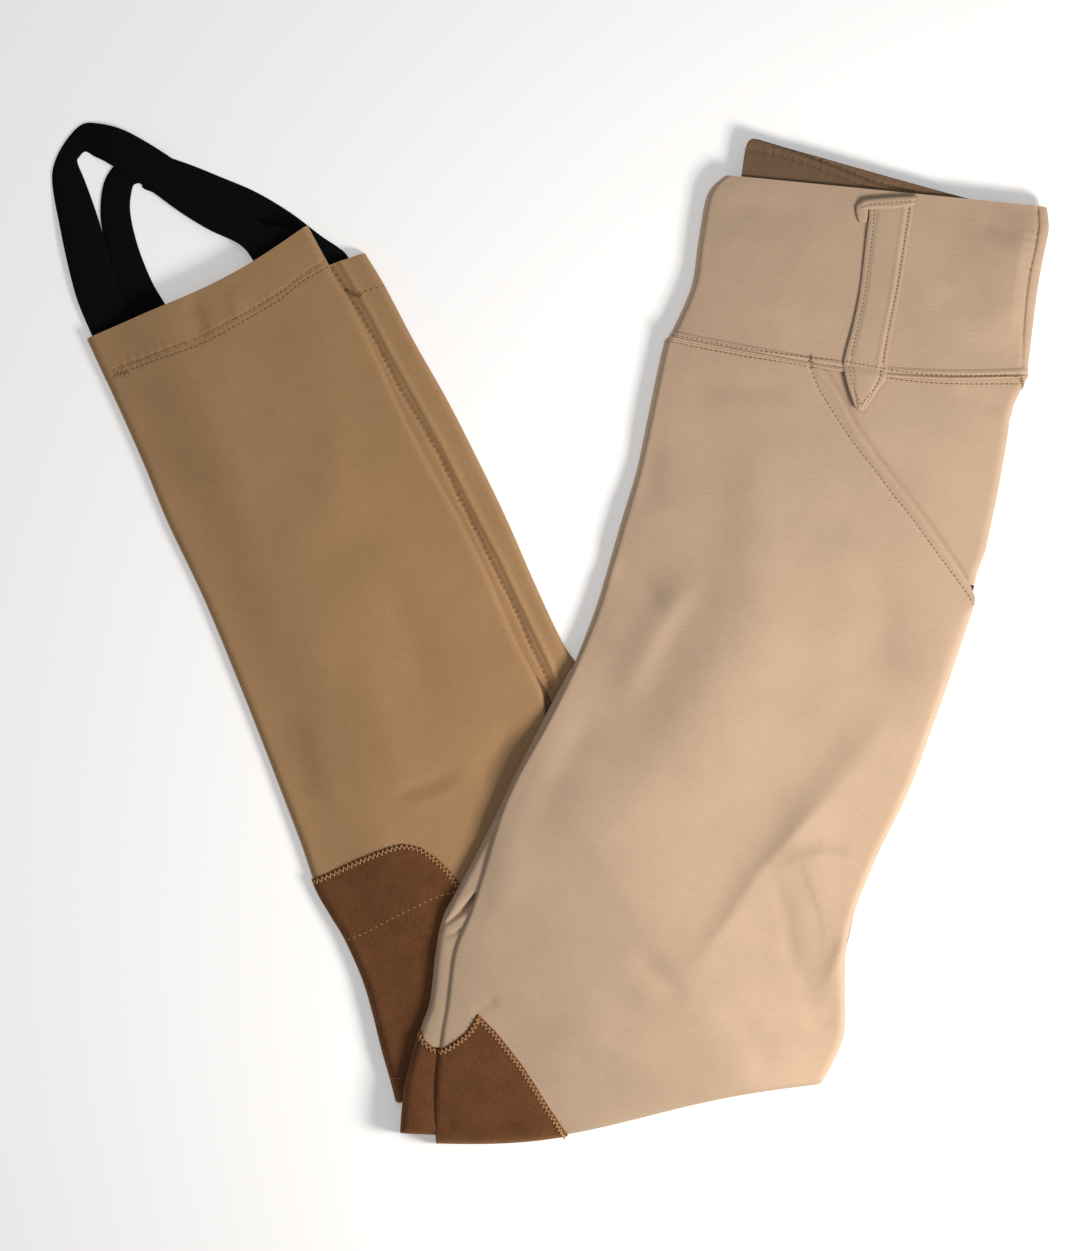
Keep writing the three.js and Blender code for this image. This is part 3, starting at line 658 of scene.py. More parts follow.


# Stretch twill: fine crosswise ribs whose hollows are painted darker as painted shade, a slight
# crepe and faint uneven dye.
def makeCloth(name, look):
    material, tree = newMaterial(name)
    where = addNode(tree, "ShaderNodeTexCoord", "map", (-1400, 0))
    spot = addNode(
        tree,
        "ShaderNodeMapping",
        "rib scale",
        (-1200, 200),
        {
            "Vector": where.outputs["UV"],
            "Scale": (1000.0 / look["dashMm"], 1000.0 / look["ribMm"], 1.0),
        },
    )
    rib = addNode(
        tree,
        "ShaderNodeTexNoise",
        "ribs",
        (-1000, 200),
        {"Vector": spot.outputs[0], "Scale": 1.0, "Detail": 2.0, "Roughness": 0.6},
    )
    crepe = addNode(
        tree,
        "ShaderNodeTexNoise",
        "crepe",
        (-1000, -60),
        {
            "Vector": where.outputs["Object"],
            "Scale": 1000.0 / look["crepeMm"],
            "Detail": 3.0,
            "Roughness": 0.65,
        },
    )
    dye = addNode(
        tree,
        "ShaderNodeTexNoise",
        "uneven dye",
        (-1000, -320),
        {"Vector": where.outputs["Object"], "Scale": 28.0, "Detail": 3.0},
    )
    # The rib hollows, where the bump is low, take the shade colour: painted shade.
    tint = addNode(
        tree,
        "ShaderNodeMixRGB",
        "rib hollow shade",
        (-760, 120),
        {
            "Fac": rib.outputs["Fac"],
            "Color1": linear(look["shadeColour"]),
            "Color2": linear(look["colour"]),
        },
    )
    tintRange = addNode(
        tree,
        "ShaderNodeMapRange",
        "dye range",
        (-760, -320),
        {
            "Value": dye.outputs["Fac"], "From Min": 0.3, "From Max": 0.7, "To Min": 0.94,
            "To Max": 1.05,
        },
    )
    colour = addNode(
        tree,
        "ShaderNodeHueSaturation",
        "dye",
        (-560, 60),
        {"Color": tint.outputs[0], "Value": tintRange.outputs[0]},
    )
    ribBump = addNode(
        tree,
        "ShaderNodeBump",
        "rib bump",
        (-560, -160),
        {"Height": rib.outputs["Fac"], "Strength": look["ribBump"], "Distance": 0.0004},
    )
    crepeBump = addNode(
        tree,
        "ShaderNodeBump",
        "crepe bump",
        (-360, -200),
        {
            "Height": crepe.outputs["Fac"],
            "Strength": look["crepeBump"],
            "Distance": 0.0004,
            "Normal": ribBump.outputs[0],
        },
    )
    shader = addNode(
        tree,
        "ShaderNodeBsdfPrincipled",
        "cloth",
        (-120, 60),
        {
            "Base Color": colour.outputs[0],
            "Roughness": look["roughness"],
            "Normal": crepeBump.outputs[0],
            "Sheen Weight": look["sheen"],
            "Sheen Roughness": 0.5,
            "Sheen Tint": linear("#E8D2BC"),
            "Specular IOR Level": 0.2,
        },
    )
    out = addNode(tree, "ShaderNodeOutputMaterial", "out", (180, 60))
    tree.links.new(shader.outputs[0], out.inputs["Surface"])
    return material


suedeLook = {
    "colour": "#7E5334",
    "darkColour": "#5B3922",
    "napMm": 1.0,
    "patchMm": 11.0,
    "bump": 0.8,
    "roughness": 0.95,
}


# Brushed suede: mottled nap with darker strokes and a soft velvet edge.
def makeSuede(name, look):
    material, tree = newMaterial(name)
    where = addNode(tree, "ShaderNodeTexCoord", "place", (-1300, 0))
    nap = addNode(
        tree,
        "ShaderNodeTexNoise",
        "nap",
        (-1050, 160),
        {
            "Vector": where.outputs["Object"],
            "Scale": 1000.0 / look["napMm"],
            "Detail": 6.0,
            "Roughness": 0.75,
        },
    )
    strokes = addNode(
        tree,
        "ShaderNodeTexNoise",
        "brushed patches",
        (-1050, -140),
        {
            "Vector": where.outputs["Object"],
            "Scale": 1000.0 / look["patchMm"],
            "Detail": 4.0,
            "Roughness": 0.6,
        },
    )
    both = addNode(
        tree,
        "ShaderNodeMath",
        "nap and patches",
        (-820, 40),
        {0: strokes.outputs["Fac"], 1: 0.55, 2: nap.outputs["Fac"]},
        operation="MULTIPLY_ADD",
    )
    part = addNode(
        tree,
        "ShaderNodeMapRange",
        "contrast",
        (-640, 40),
        {"Value": both.outputs[0], "From Min": 0.5, "From Max": 1.05},
    )
    colour = addNode(
        tree,
        "ShaderNodeMixRGB",
        "suede colour",
        (-440, 80),
        {
            "Fac": part.outputs[0],
            "Color1": linear(look["darkColour"]),
            "Color2": linear(look["colour"]),
        },
    )
    bump = addNode(
        tree,
        "ShaderNodeBump",
        "nap bump",
        (-440, -160),
        {"Height": nap.outputs["Fac"], "Strength": look["bump"], "Distance": 0.0006},
    )
    shader = addNode(
        tree,
        "ShaderNodeBsdfPrincipled",
        "suede",
        (-200, 60),
        {
            "Base Color": colour.outputs[0],
            "Roughness": look["roughness"],
            "Normal": bump.outputs[0],
            "Sheen Weight": 0.5,
            "Sheen Roughness": 0.4,
            "Sheen Tint": linear("#B98355"),
            "Specular IOR Level": 0.1,
        },
    )
    out = addNode(tree, "ShaderNodeOutputMaterial", "out", (100, 60))
    tree.links.new(shader.outputs[0], out.inputs["Surface"])
    return material


elasticLook = {"colour": "#060607", "ribMm": 1.3, "bump": 0.5, "roughness": 0.85}


# Woven elastic: fine ribs along the web and small crosswise yarns.
def makeElastic(name, look):
    material, tree = newMaterial(name)
    where = addNode(tree, "ShaderNodeTexCoord", "map", (-1100, 0))
    spot = addNode(
        tree,
        "ShaderNodeMapping",
        "rib scale",
        (-900, 0),
        {
            "Vector": where.outputs["UV"],
            "Scale": (1000.0 / look["ribMm"], 500.0 / look["ribMm"], 1.0),
        },
    )
    weave = addNode(
        tree, "ShaderNodeTexVoronoi", "yarns", (-700, 0), {"Vector": spot.outputs[0], "Scale": 1.0}
    )
    bump = addNode(
        tree,
        "ShaderNodeBump",
        "yarn bump",
        (-450, -100),
        {"Height": weave.outputs["Distance"], "Strength": look["bump"], "Distance": 0.0004},
    )
    shader = addNode(
        tree,
        "ShaderNodeBsdfPrincipled",
        "elastic",
        (-200, 0),
        {
            "Base Color": linear(look["colour"]),
            "Roughness": look["roughness"],
            "Normal": bump.outputs[0],
            "Specular IOR Level": 0.12,
        },
    )
    out = addNode(tree, "ShaderNodeOutputMaterial", "out", (100, 0))
    tree.links.new(shader.outputs[0], out.inputs["Surface"])
    return material


# Sewing thread: plain twisted cotton with a light gloss.
def makeThread(name, colour):
    material, tree = newMaterial(name)
    where = addNode(tree, "ShaderNodeTexCoord", "place", (-700, 0))
    twist = addNode(
        tree,
        "ShaderNodeTexNoise",
        "twist",
        (-500, 0),
        {"Vector": where.outputs["Object"], "Scale": 900.0, "Detail": 2.0},
    )
    tint = addNode(
        tree,
        "ShaderNodeHueSaturation",
        "shade",
        (-300, 60),
        {"Color": linear(colour), "Value": twist.outputs["Fac"]},
    )
    lift = addNode(
        tree,
        "ShaderNodeMixRGB",
        "thread colour",
        (-120, 60),
        {"Fac": 0.35, "Color1": linear(colour), "Color2": tint.outputs[0]},
    )
    shader = addNode(
        tree,
        "ShaderNodeBsdfPrincipled",
        "thread",
        (80, 0),
        {"Base Color": lift.outputs[0], "Roughness": 0.55},
    )
    out = addNode(tree, "ShaderNodeOutputMaterial", "out", (360, 0))
    tree.links.new(shader.outputs[0], out.inputs["Surface"])
    return material


# The lower legs take a darker, warmer copy of the same twill: painted shade.
calfShadedLook = dict(clothLook, colour="#B48E66", shadeColour="#A27D56")
# The inside of the waistband and the edges of the stacked layers take a dark copy of the twill:
# painted shade.
liningShadedLook = dict(clothLook, colour="#7A6149", shadeColour="#6B543D")

twill = makeCloth("beigeStretchTwill", clothLook)
calfShadedTwill = makeCloth("beigeStretchTwillLowerLegPaintedShade", calfShadedLook)
shadedLining = makeCloth("waistbandLiningPaintedShade", liningShadedLook)
shadedLayerEdges = makeCloth("stackedTwillEdgesPaintedShade", liningShadedLook)
suede = makeSuede("tanSuede", suedeLook)
elastic = makeElastic("blackElasticWeb", elasticLook)
threadTan = makeThread("tanThread", "#A07C56")
threadDark = makeThread("darkTanThread", "#94704D")
threadLight = makeThread("lightTanThread", "#CB9763")
print("materials made")

# Stitch rows
# Each line is in squares of the grid, on the layer that it is sewn through.
upperSeamLeft = [(673, 335), (700, 340), (740, 348), (780, 354), (812, 358), (843, 361)]
upperSeamRight = [(887, 370), (920, 374), (960, 376), (1000, 376), (1025, 378)]
lowerSeamLeft = [(668, 341), (700, 348), (740, 356), (780, 362), (805, 366)]
lowerSeamRight = [(887, 378), (920, 382), (960, 384), (1000, 384), (1022, 384)]
pocketRim = [(820, 363), (840, 395), (857, 428), (878, 458), (900, 487), (920, 512)]
pocketRim += [(940, 540), (955, 562), (977, 597)]
pocketRow = [(811, 369), (820, 391), (835, 415), (852, 441), (874, 469), (892, 493)]
pocketRow += [(912, 518), (932, 546), (952, 573), (966, 592), (973, 604)]
sideSeam = [(1037, 208), (1038, 226), (1034, 250), (1028.5, 274), (1025, 300), (1023, 325)]
sideSeam += [(1021.5, 369)]
sliverSeam = [(1029, 384), (1024, 395), (1016, 407), (1009, 424)]
hemUpper = [(113, 369), (125, 364), (160, 352), (200, 337), (240, 316), (280, 293)]
hemUpper += [(300, 277), (324, 262)]
hemLower = [(113, 376), (125, 371), (160, 359), (200, 345), (240, 324), (280, 300)]
hemLower += [(300, 284), (327, 268)]
calfSeam = [(330, 266), (342, 285), (356, 308), (375, 341), (400, 390), (425, 431), (440, 458)]
calfSeam += [(455, 490), (470, 520), (485, 550), (500, 580), (515, 610), (530, 645)]
calfSeam += [(545, 675), (556, 697)]
calfRidge = [(340, 260), (355, 286), (372, 316), (390, 351), (415, 396), (440, 441)]
calfRidge += [(460, 481), (480, 521), (500, 558), (520, 601), (540, 643), (560, 686)]
underHemRow = [(348, 291), (363, 291), (382, 285)]
calfPatchEdge = [(300, 884), (311, 880), (330, 872), (360, 858), (385, 848), (402, 843.5)]
calfPatchEdge += [(420, 846.5), (436, 857), (449, 869), (457, 880), (464, 890), (520, 960)]
calfPatchRow = [(345, 941), (365, 933), (393, 918), (411, 909), (434, 898), (454, 892)]
calfFootRow = [(392, 1079), (400, 1078), (408, 1077)]
thighPatchEdge = [(425, 1052), (437, 1047), (445, 1045), (456, 1038), (467, 1029), (474, 1018)]
thighPatchEdge += [(478, 1011), (483, 1016), (496, 1029), (509, 1045), (523, 1063), (536, 1083)]
thighPatchEdge += [(547, 1101), (559, 1119), (568, 1135), (574, 1146)]
farPatchEdge = [(415, 1027), (421, 1029), (425, 1038), (431, 1043), (437, 1047), (460, 1052)]
bandCrease = [(745, 138), (754, 136), (797, 150.5), (842, 167), (876, 181), (915, 192)]
bandRow = [(744, 149), (758, 150), (786, 156), (820, 167), (853, 181), (876, 191)]
tuckLine = [(440, 925), (447, 922), (456, 915), (466, 907), (476, 897)]
tuckUnderLine = [(438, 929), (444, 934), (451, 933.5), (460, 929)]
puckerLine = [(478, 1009), (484, 1003), (494, 998)]

# Pieces
legRelief = clothRelief(
    [(pocketRow, 1.1, 0.4), (puckerLine, 2.0, 0.6)], seed=1.0, softLeft=0.6, softEnd=nearLeg.length
)


def frontRelief(x, y, d, s, wide):
    rim, _, _ = lineDistance(x, y, pocketRim)
    crown = 2.6 * np.sin(np.pi * np.clip(d / wide, 0, 1)) * ease(pocketEnd - 10, pocketEnd + 80, s)
    return legRelief(x, y, d, s, wide) + crown + 0.45 * np.exp(-(((rim - 2.2) / 1.8) ** 2))


clothPiece(
    "front_panel", frontLayer, panelStart + 0.1, nearLeg.length, 1.7, 105,
    twill, "cloth", ["front_panel_left"], rolled=True, relief=frontRelief,
)


def facingRelief(x, y, d, s, wide):
    seam, along, _ = lineDistance(x, y, sliverSeam)
    rim, _, _ = lineDistance(x, y, pocketRim)
    z = foldRise(x, y, creaseTable) + 0.15 * softNoise(x, y, 25, 2.0)
    return z - 1.0 * np.exp(-((seam / 0.9) ** 2)) - 0.9 * np.exp(-((rim / 1.8) ** 2))


clothPiece(
    "pocket_facing", facingLayer, panelStart + 0.1, pocketEnd - 3, 1.1, 110,
    twill, "cloth", ["pocket_facing_left"], relief=facingRelief,
)
bandRelief = clothRelief([(sideSeam, 0.75, 1.1)], seed=3.0, softLeft=0.7)
clothPiece(
    "waistband_outer", nearLayer, 0, bandEnd - 0.1, 1.2, 170,
    twill, "cloth", ["waistband_front"], relief=bandRelief, crowd=0.92,
)


# The taped seam: two sewn grooves with the cloth puffed between and beside them.
def stripRelief(x, y, d, s, wide):
    across = (s - bandEnd) / (panelStart - bandEnd)
    rows = np.exp(-(((across - 0.22) / 0.09) ** 2)) + np.exp(-(((across - 0.78) / 0.09) ** 2))
    edges = np.exp(-((across / 0.07) ** 2)) + np.exp(-(((1 - across) / 0.07) ** 2))
    pull = 1 + 0.25 * np.sin(d * 2.3) * np.sin(d * 0.31)
    return foldRise(x, y, creaseTable) + 0.5 - 0.75 * rows * pull - 0.9 * edges


clothPiece(
    "waist_seam", nearLayer, bandEnd, panelStart, 0.32, 220,
    twill, "cloth", ["waist_seam_strip"], relief=stripRelief, lift=0.3, thick=1.4,
)
backRelief = clothRelief([(bandCrease, 0.8, 1.3), (bandRow, 0.8, 0.6)], lumps=0.2, seed=5.0)
clothPiece(
    "waistband_inner", backBandLayer, 0, backBand.length, 0.8, 190,
    shadedLining, "waistband_inside", ["waistband_back"], relief=backRelief,
)


def farRelief(x, y, d, s, wide):
    tuck, along, _ = lineDistance(x, y, tuckLine)
    under, _, _ = lineDistance(x, y, tuckUnderLine)
    deep = 0.8 + 3.4 * ease(0, 18, along)
    puff = np.exp(-(((x - mmX(452)) / 6) ** 2) - (((y - mmY(905)) / 7) ** 2))
    z = 0.9 * puff - deep * np.exp(-((tuck / (0.9 + 0.8 * ease(4, 18, along))) ** 2))
    crown = 0.9 * np.sin(np.pi * np.clip(d / np.minimum(wide, 17), 0, 1))
    return z + crown - 0.9 * np.exp(-((under / 1.2) ** 2)) + 0.2 * softNoise(x, y, 14, 6.0)


clothPiece(
    "far_thigh_edge", farLayer, 0, sliverStart + 9, 0.9, 26,
    twill, "cloth", ["thigh_edge_right"], relief=farRelief,
)
clothPiece(
    "far_knee_patch", farLayer, sliverStart - 5, farLeg.length, 0.9, 26,
    suede, "suede", ["knee_patch_right_thigh"], rolled=True, edge=farPatchEdge, lift=0.6,
    relief=farRelief,
)
hemRelief = clothRelief([(hemUpper, 0.7, 0.4), (hemLower, 0.7, 0.4)], seed=7.0)
clothPiece(
    "right_hem", calfLayer, 0, hemEnd, 0.7, 150,
    calfShadedTwill, "cloth", ["hem_right"], relief=hemRelief, lift=0.12, thick=1.7,
)
clothPiece(
    "right_calf", calfLayer, hemEnd - 1.5, calfLeg.length, 1.7, 80,
    calfShadedTwill, "cloth", ["calf_panel_right"], relief=clothRelief(seed=7.0),
)


def underRelief(x, y, d, s, wide):
    seam, along, _ = lineDistance(x, y, calfSeam)
    ridge, _, _ = lineDistance(x, y, calfRidge)
    pull = 1 + 0.3 * np.sin(along * 1.9)
    z = 1.2 * np.exp(-((ridge / 1.7) ** 2)) - 0.9 * pull * np.exp(-((seam / 1.1) ** 2))
    return z + 0.2 * softNoise(x, y, 20, 8.0)


clothPiece(
    "left_hem", underLayer, 0, underHemEnd, 0.8, 30,
    calfShadedTwill, "cloth", ["hem_left"], relief=underRelief, thick=1.7, lift=0.12,
)
clothPiece(
    "left_calf", underLayer, underHemEnd - 1.5, underLeg.length, 0.9, 44,
    calfShadedTwill, "cloth", ["calf_panel_left"], relief=underRelief,
)


# The suede patches lie on their panels, thin at the sewn edge.
def patchRelief(base, edge, rise):
    def relief(x, y, d, s, wide):
        dist, _, _ = lineDistance(x, y, edge)
        z = base(x, y, d, s, wide) if base else 0.0
        return z - rise * np.exp(-((dist / 1.6) ** 2))

    return relief


clothPiece(
    "thigh_suede", nearLayer, nearLeg.length - 72, nearLeg.length, 0.9, 64,
    suede, "suede", ["knee_patch_left_thigh"], rolled=True, high=0.337, lift=1.0, thick=0.9,
    edge=thighPatchEdge, relief=patchRelief(frontRelief, thighPatchEdge, 0.6),
)
clothPiece(
    "calf_suede", calfLayer, calfLeg.length - 150, calfLeg.length - 2, 1.2, 70,
    suede, "suede", ["knee_patch_right_calf"], lift=0.9, thick=0.8,
    edge=calfPatchEdge, relief=patchRelief(clothRelief(seed=7.0), calfPatchEdge, 0.5),
)
print("panels made")


# Bands
def smoothRows(rows, perRow):
    data = np.array(rows, float)
    last = len(data) - 1
    out = []
    for i in range(last):
        a, b, c, d = (data[min(max(i + k, 0), last)] for k in (-1, 0, 1, 2))
        for k in range(perRow):
            t = k / perRow
            out.append(
                0.5
                * (
                    2 * b
                    + (c - a) * t
                    + (2 * a - 5 * b + 4 * c - d) * t * t
                    + (3 * b - a - 3 * c + d) * t * t * t
                )
            )
    out.append(data[-1])
    return np.array(out)


# A flat band between two edges; base is the height it lies at and profile its section.
def bandPiece(
    name, rows, thick, material, nodes, base=None, profile=None, perRow=8, count=14,
):
    dense = smoothRows(rows, perRow)
    t = np.linspace(0, 1, count + 1)[None, :]
    x = mix(mmX(dense[:, 0:1]), mmX(dense[:, 2:3]), t)
    y = mix(mmY(dense[:, 1:2]), mmY(dense[:, 3:4]), t)
    low = np.maximum(dense[:, 4:5], 0) + 0 * t
    if base is not None:
        low = low + base(x, y)
    roundOff = 1 - 0.45 * np.abs(2 * t - 1) ** 6
    top = low + thick * roundOff
    if profile is not None:
        top = top + profile(t, np.arange(len(dense))[:, None] / perRow)
    step = np.hypot(np.diff(x.mean(1)), np.diff(y.mean(1)))
    along = np.concatenate([[0.0], np.cumsum(step)])[:, None]
    wide = np.hypot(x[:, -1] - x[:, 0], y[:, -1] - y[:, 0])[:, None]
    uv = np.stack([t * wide, along + 0 * t], -1) * 0.001
    upper = np.stack([x, y, top], -1)
    lower = np.stack([x, y, low], -1)
    piece = meshFromGrids(name, upper, lower, uv)
    finishPiece(piece, material, nodes)
    keepSurface(name, upper)
    measured[name] = (float(wide.max()) * 0.001, float(along.max()) * 0.001, areaOf(upper))
    return piece


strapRight = [
    # outer x, outer y, inner x, inner y, height of the underside
    (99, 352, 139, 335, 1.6),
    (90, 334, 131, 316, 1.6),
    (75, 298, 119, 288, 1.6),
    (65, 260, 107, 252, 1.6),
    (57, 222, 95, 213, 1.2),
    (50, 185, 83, 180, 0),
    (51, 163, 75, 160, 0),
    (62, 140, 77, 154, 0),
    (79, 122, 83, 149, 0),
    (97, 121, 92, 154, 0.6),
    (120, 127, 104, 160, 1.5),
    (145, 140, 127, 174, 1.7),
    (173, 158, 152, 191, 1.8),
    (200, 178, 178, 210, 2.2),
    (230, 197, 207, 228, 3),
    (260, 221, 238, 243, 4.2),
    (291, 230, 252, 259, 5.5),
    (300, 248, 261, 277, 5.7),
]
strapLeft = [
    (143, 345, 178, 330, 0),
    (126, 316, 164, 304, 0),
    (112, 280, 150, 280, 0),
    (103, 245, 136, 245, 0),
    (98, 212, 128, 210, 0),
    (101, 182, 130, 186, 0),
    (112, 163, 135, 181, 0),
    (130, 151, 140, 182, 0),
    (152, 151, 143, 187, 0),
    (185, 161, 172, 197, 0),
    (220, 175, 204, 210, 0),
    (255, 190, 236, 223, 0),
    (290, 211, 268, 242, 0.4),
    (320, 234, 298, 265, 1.2),
    (344, 251, 322, 280, 1.3),
    (353, 269, 331, 298, 1.3),
]


# Woven web: a thin selvedge at each side and fine cords along it.
def webProfile(t, row):
    return 0.06 * np.cos(t * 2 * np.pi * 6) - 0.12 * (np.abs(t - 0.5) > 0.44)


bandPiece(
    "strap_right", strapRight, 1.2, elastic, ["stirrup_strap_right"],
    profile=webProfile, count=24,
)
bandPiece(
    "strap_left", strapLeft, 1.2, elastic, ["stirrup_strap_left"], profile=webProfile,
    count=24,
)


def onWaist(lift):
    def base(x, y):
        return thighTop(x, y) + foldRise(x, y, creaseTable) + lift

    return base


def loopProfile(t, row):
    rows = np.exp(-(((t - 0.14) / 0.045) ** 2)) + np.exp(-(((t - 0.87) / 0.045) ** 2))
    ridge = np.exp(-(((t - 0.78) / 0.05) ** 2))
    return -0.34 * rows + 0.28 * ridge + 0.15 * np.sin(np.pi * t)


def foldProfile(t, row):
    return 0.4 * np.sin(np.pi * t) - 0.4 * np.exp(-(((t - 0.55) / 0.12) ** 2))


loopRows = [
    (868, 203, 915, 199, 0),
    (869, 215, 913, 213, 0),
    (866, 240, 909, 238, 0),
    (860, 290, 901, 288, 0),
    (853, 325, 894, 325, 0),
    (846, 352, 888, 357, 0),
    (843, 366, 887, 371, 0),
]
loopFoldRows = [
    (859, 203, 862, 211, 0.2),
    (866, 200, 868, 210, 0.9),
    (890, 198, 892, 209, 1.0),
    (908, 197, 908, 207, 0.9),
    (917, 197, 914, 205, 0.5),
]
loopFlapRows = [
    (858, 203, 870, 202, 0.1),
    (856, 209, 868, 209, 0.5),
    (857, 217, 867, 217, 0.5),
    (859, 223, 866, 223, 0.2),
]
tabRows = [
    (843, 363, 886, 369, 0),
    (845, 375, 886, 379, 0),
    (849, 391, 877, 391, 0),
    (853, 403, 868, 405, 0),
    (856, 410, 863, 411, 0),
]


def tabProfile(t, row):
    rows = np.exp(-(((t - 0.17) / 0.05) ** 2)) + np.exp(-(((t - 0.83) / 0.05) ** 2))
    puff = (-0.4 * rows + 0.3 * np.sin(np.pi * t)) * ease(-0.3, 0.6, 4 - row)
    return puff - 0.7 * (1 - ease(0.2, 0.9, row))


bandPiece(
    "loop_body", loopRows, 1.3, twill, ["belt_loop"], base=onWaist(0.5),
    profile=loopProfile, count=40,
)
bandPiece(
    "loop_fold", loopFoldRows, 0.9, twill, [], base=onWaist(0.6), profile=foldProfile,
    count=14,
)
bandPiece("loop_flap", loopFlapRows, 0.9, twill, [], base=onWaist(0.3), count=10)
bandPiece(
    "loop_tab", tabRows, 1.3, twill, ["belt_loop_tab"], base=onWaist(0.5),
    profile=tabProfile, count=30,
)
print("bands made")

# Hidden layers
# They are pressed down a little under the cloth that creases over them. Both are in metres.
hiddenLayers = dict(pressedAbove=0.006, pressedBy=0.0014)
core = bpy.data.objects.new("inner_layers", bpy.data.objects["folded_layers"].data.copy())
scene = bpy.context.scene
scene.collection.objects.link(core)
bm = bmesh.new()
bm.from_mesh(core.data)
bmesh.ops.remove_doubles(bm, verts=bm.verts, dist=1e-6)
bm.to_mesh(core.data)
bm.free()
for vertex in core.data.vertices:
    if vertex.co.z > hiddenLayers["pressedAbove"]:
        vertex.co.z -= hiddenLayers["pressedBy"]
core.data.materials.clear()
# The stacked edges are coloured with the dark copy of the twill, painted shade.
finishPiece(core, shadedLayerEdges, ["folded_layers"])
print("hidden layers made")


# Stitches
# Rows of thread along a line: straight stitches, or zigzag ones where slant is large.
def stitchGroup():
    tree = bpy.data.node_groups.new("stitchRow", "GeometryNodeTree")
    sockets = [
        ("Path", "NodeSocketGeometry", None),
        ("Pitch", "NodeSocketFloat", 0.0026),
        ("Length", "NodeSocketFloat", 0.002),
        ("Thickness", "NodeSocketFloat", 0.0005),
        ("Slant", "NodeSocketFloat", 0.0),
        ("Looseness", "NodeSocketFloat", 0.06),
        ("Seed", "NodeSocketInt", 1),
        ("Thread", "NodeSocketMaterial", None),
    ]
    for name, kind, value in sockets:
        socket = tree.interface.new_socket(name=name, in_out="INPUT", socket_type=kind)
        if value is not None:
            socket.default_value = value
    tree.interface.new_socket(name="Stitches", in_out="OUTPUT", socket_type="NodeSocketGeometry")
    start = addNode(tree, "NodeGroupInput", "inputs", (-1200, 0))
    given = start.outputs
    line = addNode(tree, "GeometryNodeMeshToCurve", "line", (-1000, 200), {"Mesh": given["Path"]})
    points = addNode(
        tree,
        "GeometryNodeResampleCurve",
        "one point a stitch",
        (-800, 200),
        {"Curve": line.outputs[0], "Length": given["Pitch"]},
        mode="LENGTH",
    )
    tangent = addNode(tree, "GeometryNodeInputTangent", "direction", (-1000, -60))
    turn = addNode(
        tree,
        "FunctionNodeAlignRotationToVector",
        "along the line",
        (-800, -60),
        {"Vector": tangent.outputs[0]},
        axis="X",
    )
    index = addNode(tree, "GeometryNodeInputIndex", "stitch number", (-1200, -300))
    odd = addNode(
        tree,
        "ShaderNodeMath",
        "odd or even",
        (-1000, -300),
        {0: index.outputs[0], 1: 2.0},
        operation="MODULO",
    )
    sign = addNode(
        tree,
        "ShaderNodeMath",
        "left or right",
        (-820, -300),
        {0: odd.outputs[0], 1: 2.0, 2: -1.0},
        operation="MULTIPLY_ADD",
    )
    lean = addNode(
        tree,
        "ShaderNodeMath",
        "lean",
        (-640, -300),
        {0: sign.outputs[0], 1: given["Slant"]},
        operation="MULTIPLY",
    )
    stray = addNode(tree, "FunctionNodeRandomValue", "stray", (-820, -480), data_type="FLOAT")
    stray.inputs[2].default_value = -1.0
    stray.inputs[3].default_value = 1.0
    tree.links.new(given["Seed"], stray.inputs["Seed"])
    loose = addNode(
        tree,
        "ShaderNodeMath",
        "stray a little",
        (-460, -360),
        {0: stray.outputs[1], 1: given["Looseness"], 2: lean.outputs[0]},
        operation="MULTIPLY_ADD",
    )
    spin = addNode(
        tree,
        "FunctionNodeAxisAngleToRotation",
        "spin",
        (-280, -300),
        {"Axis": (0.0, 0.0, 1.0), "Angle": loose.outputs[0]},
    )
    turned = addNode(
        tree,
        "FunctionNodeRotateRotation",
        "turned stitch",
        (-100, -100),
        {"Rotation": turn.outputs[0], "Rotate By": spin.outputs[0]},
        rotation_space="LOCAL",
    )
    halfLong = addNode(
        tree,
        "ShaderNodeMath",
        "half length",
        (-640, 420),
        {0: given["Length"], 1: 0.5},
        operation="MULTIPLY",
    )
    halfThick = addNode(
        tree,
        "ShaderNodeMath",
        "half thickness",
        (-640, 560),
        {0: given["Thickness"], 1: 0.5},
        operation="MULTIPLY",
    )
    size = addNode(
        tree,
        "ShaderNodeCombineXYZ",
        "stitch size",
        (-460, 460),
        {"X": halfLong.outputs[0], "Y": halfThick.outputs[0], "Z": halfThick.outputs[0]},
    )
    ball = addNode(
        tree, "GeometryNodeMeshUVSphere", "stitch", (-460, 620), {
            "Segments": 6, "Rings": 5, "Radius": 1.0,
        }
    )
    stitch = addNode(
        tree,
        "GeometryNodeTransform",
        "stitch shape",
        (-280, 520),
        {"Geometry": ball.outputs[0], "Scale": size.outputs[0]},
    )
    row = addNode(
        tree,
        "GeometryNodeInstanceOnPoints",
        "row",
        (100, 200),
        {"Points": points.outputs[0], "Instance": stitch.outputs[0], "Rotation": turned.outputs[0]},
    )
    real = addNode(
        tree, "GeometryNodeRealizeInstances", "real", (280, 200), {"Geometry": row.outputs[0]},
    )
    dyed = addNode(
        tree,
        "GeometryNodeSetMaterial",
        "thread",
        (460, 200),
        {"Geometry": real.outputs[0], "Material": given["Thread"]},
    )
    end = addNode(tree, "NodeGroupOutput", "out", (640, 200))
    tree.links.new(dyed.outputs[0], end.inputs[0])
    return tree


stitchTree = stitchGroup()


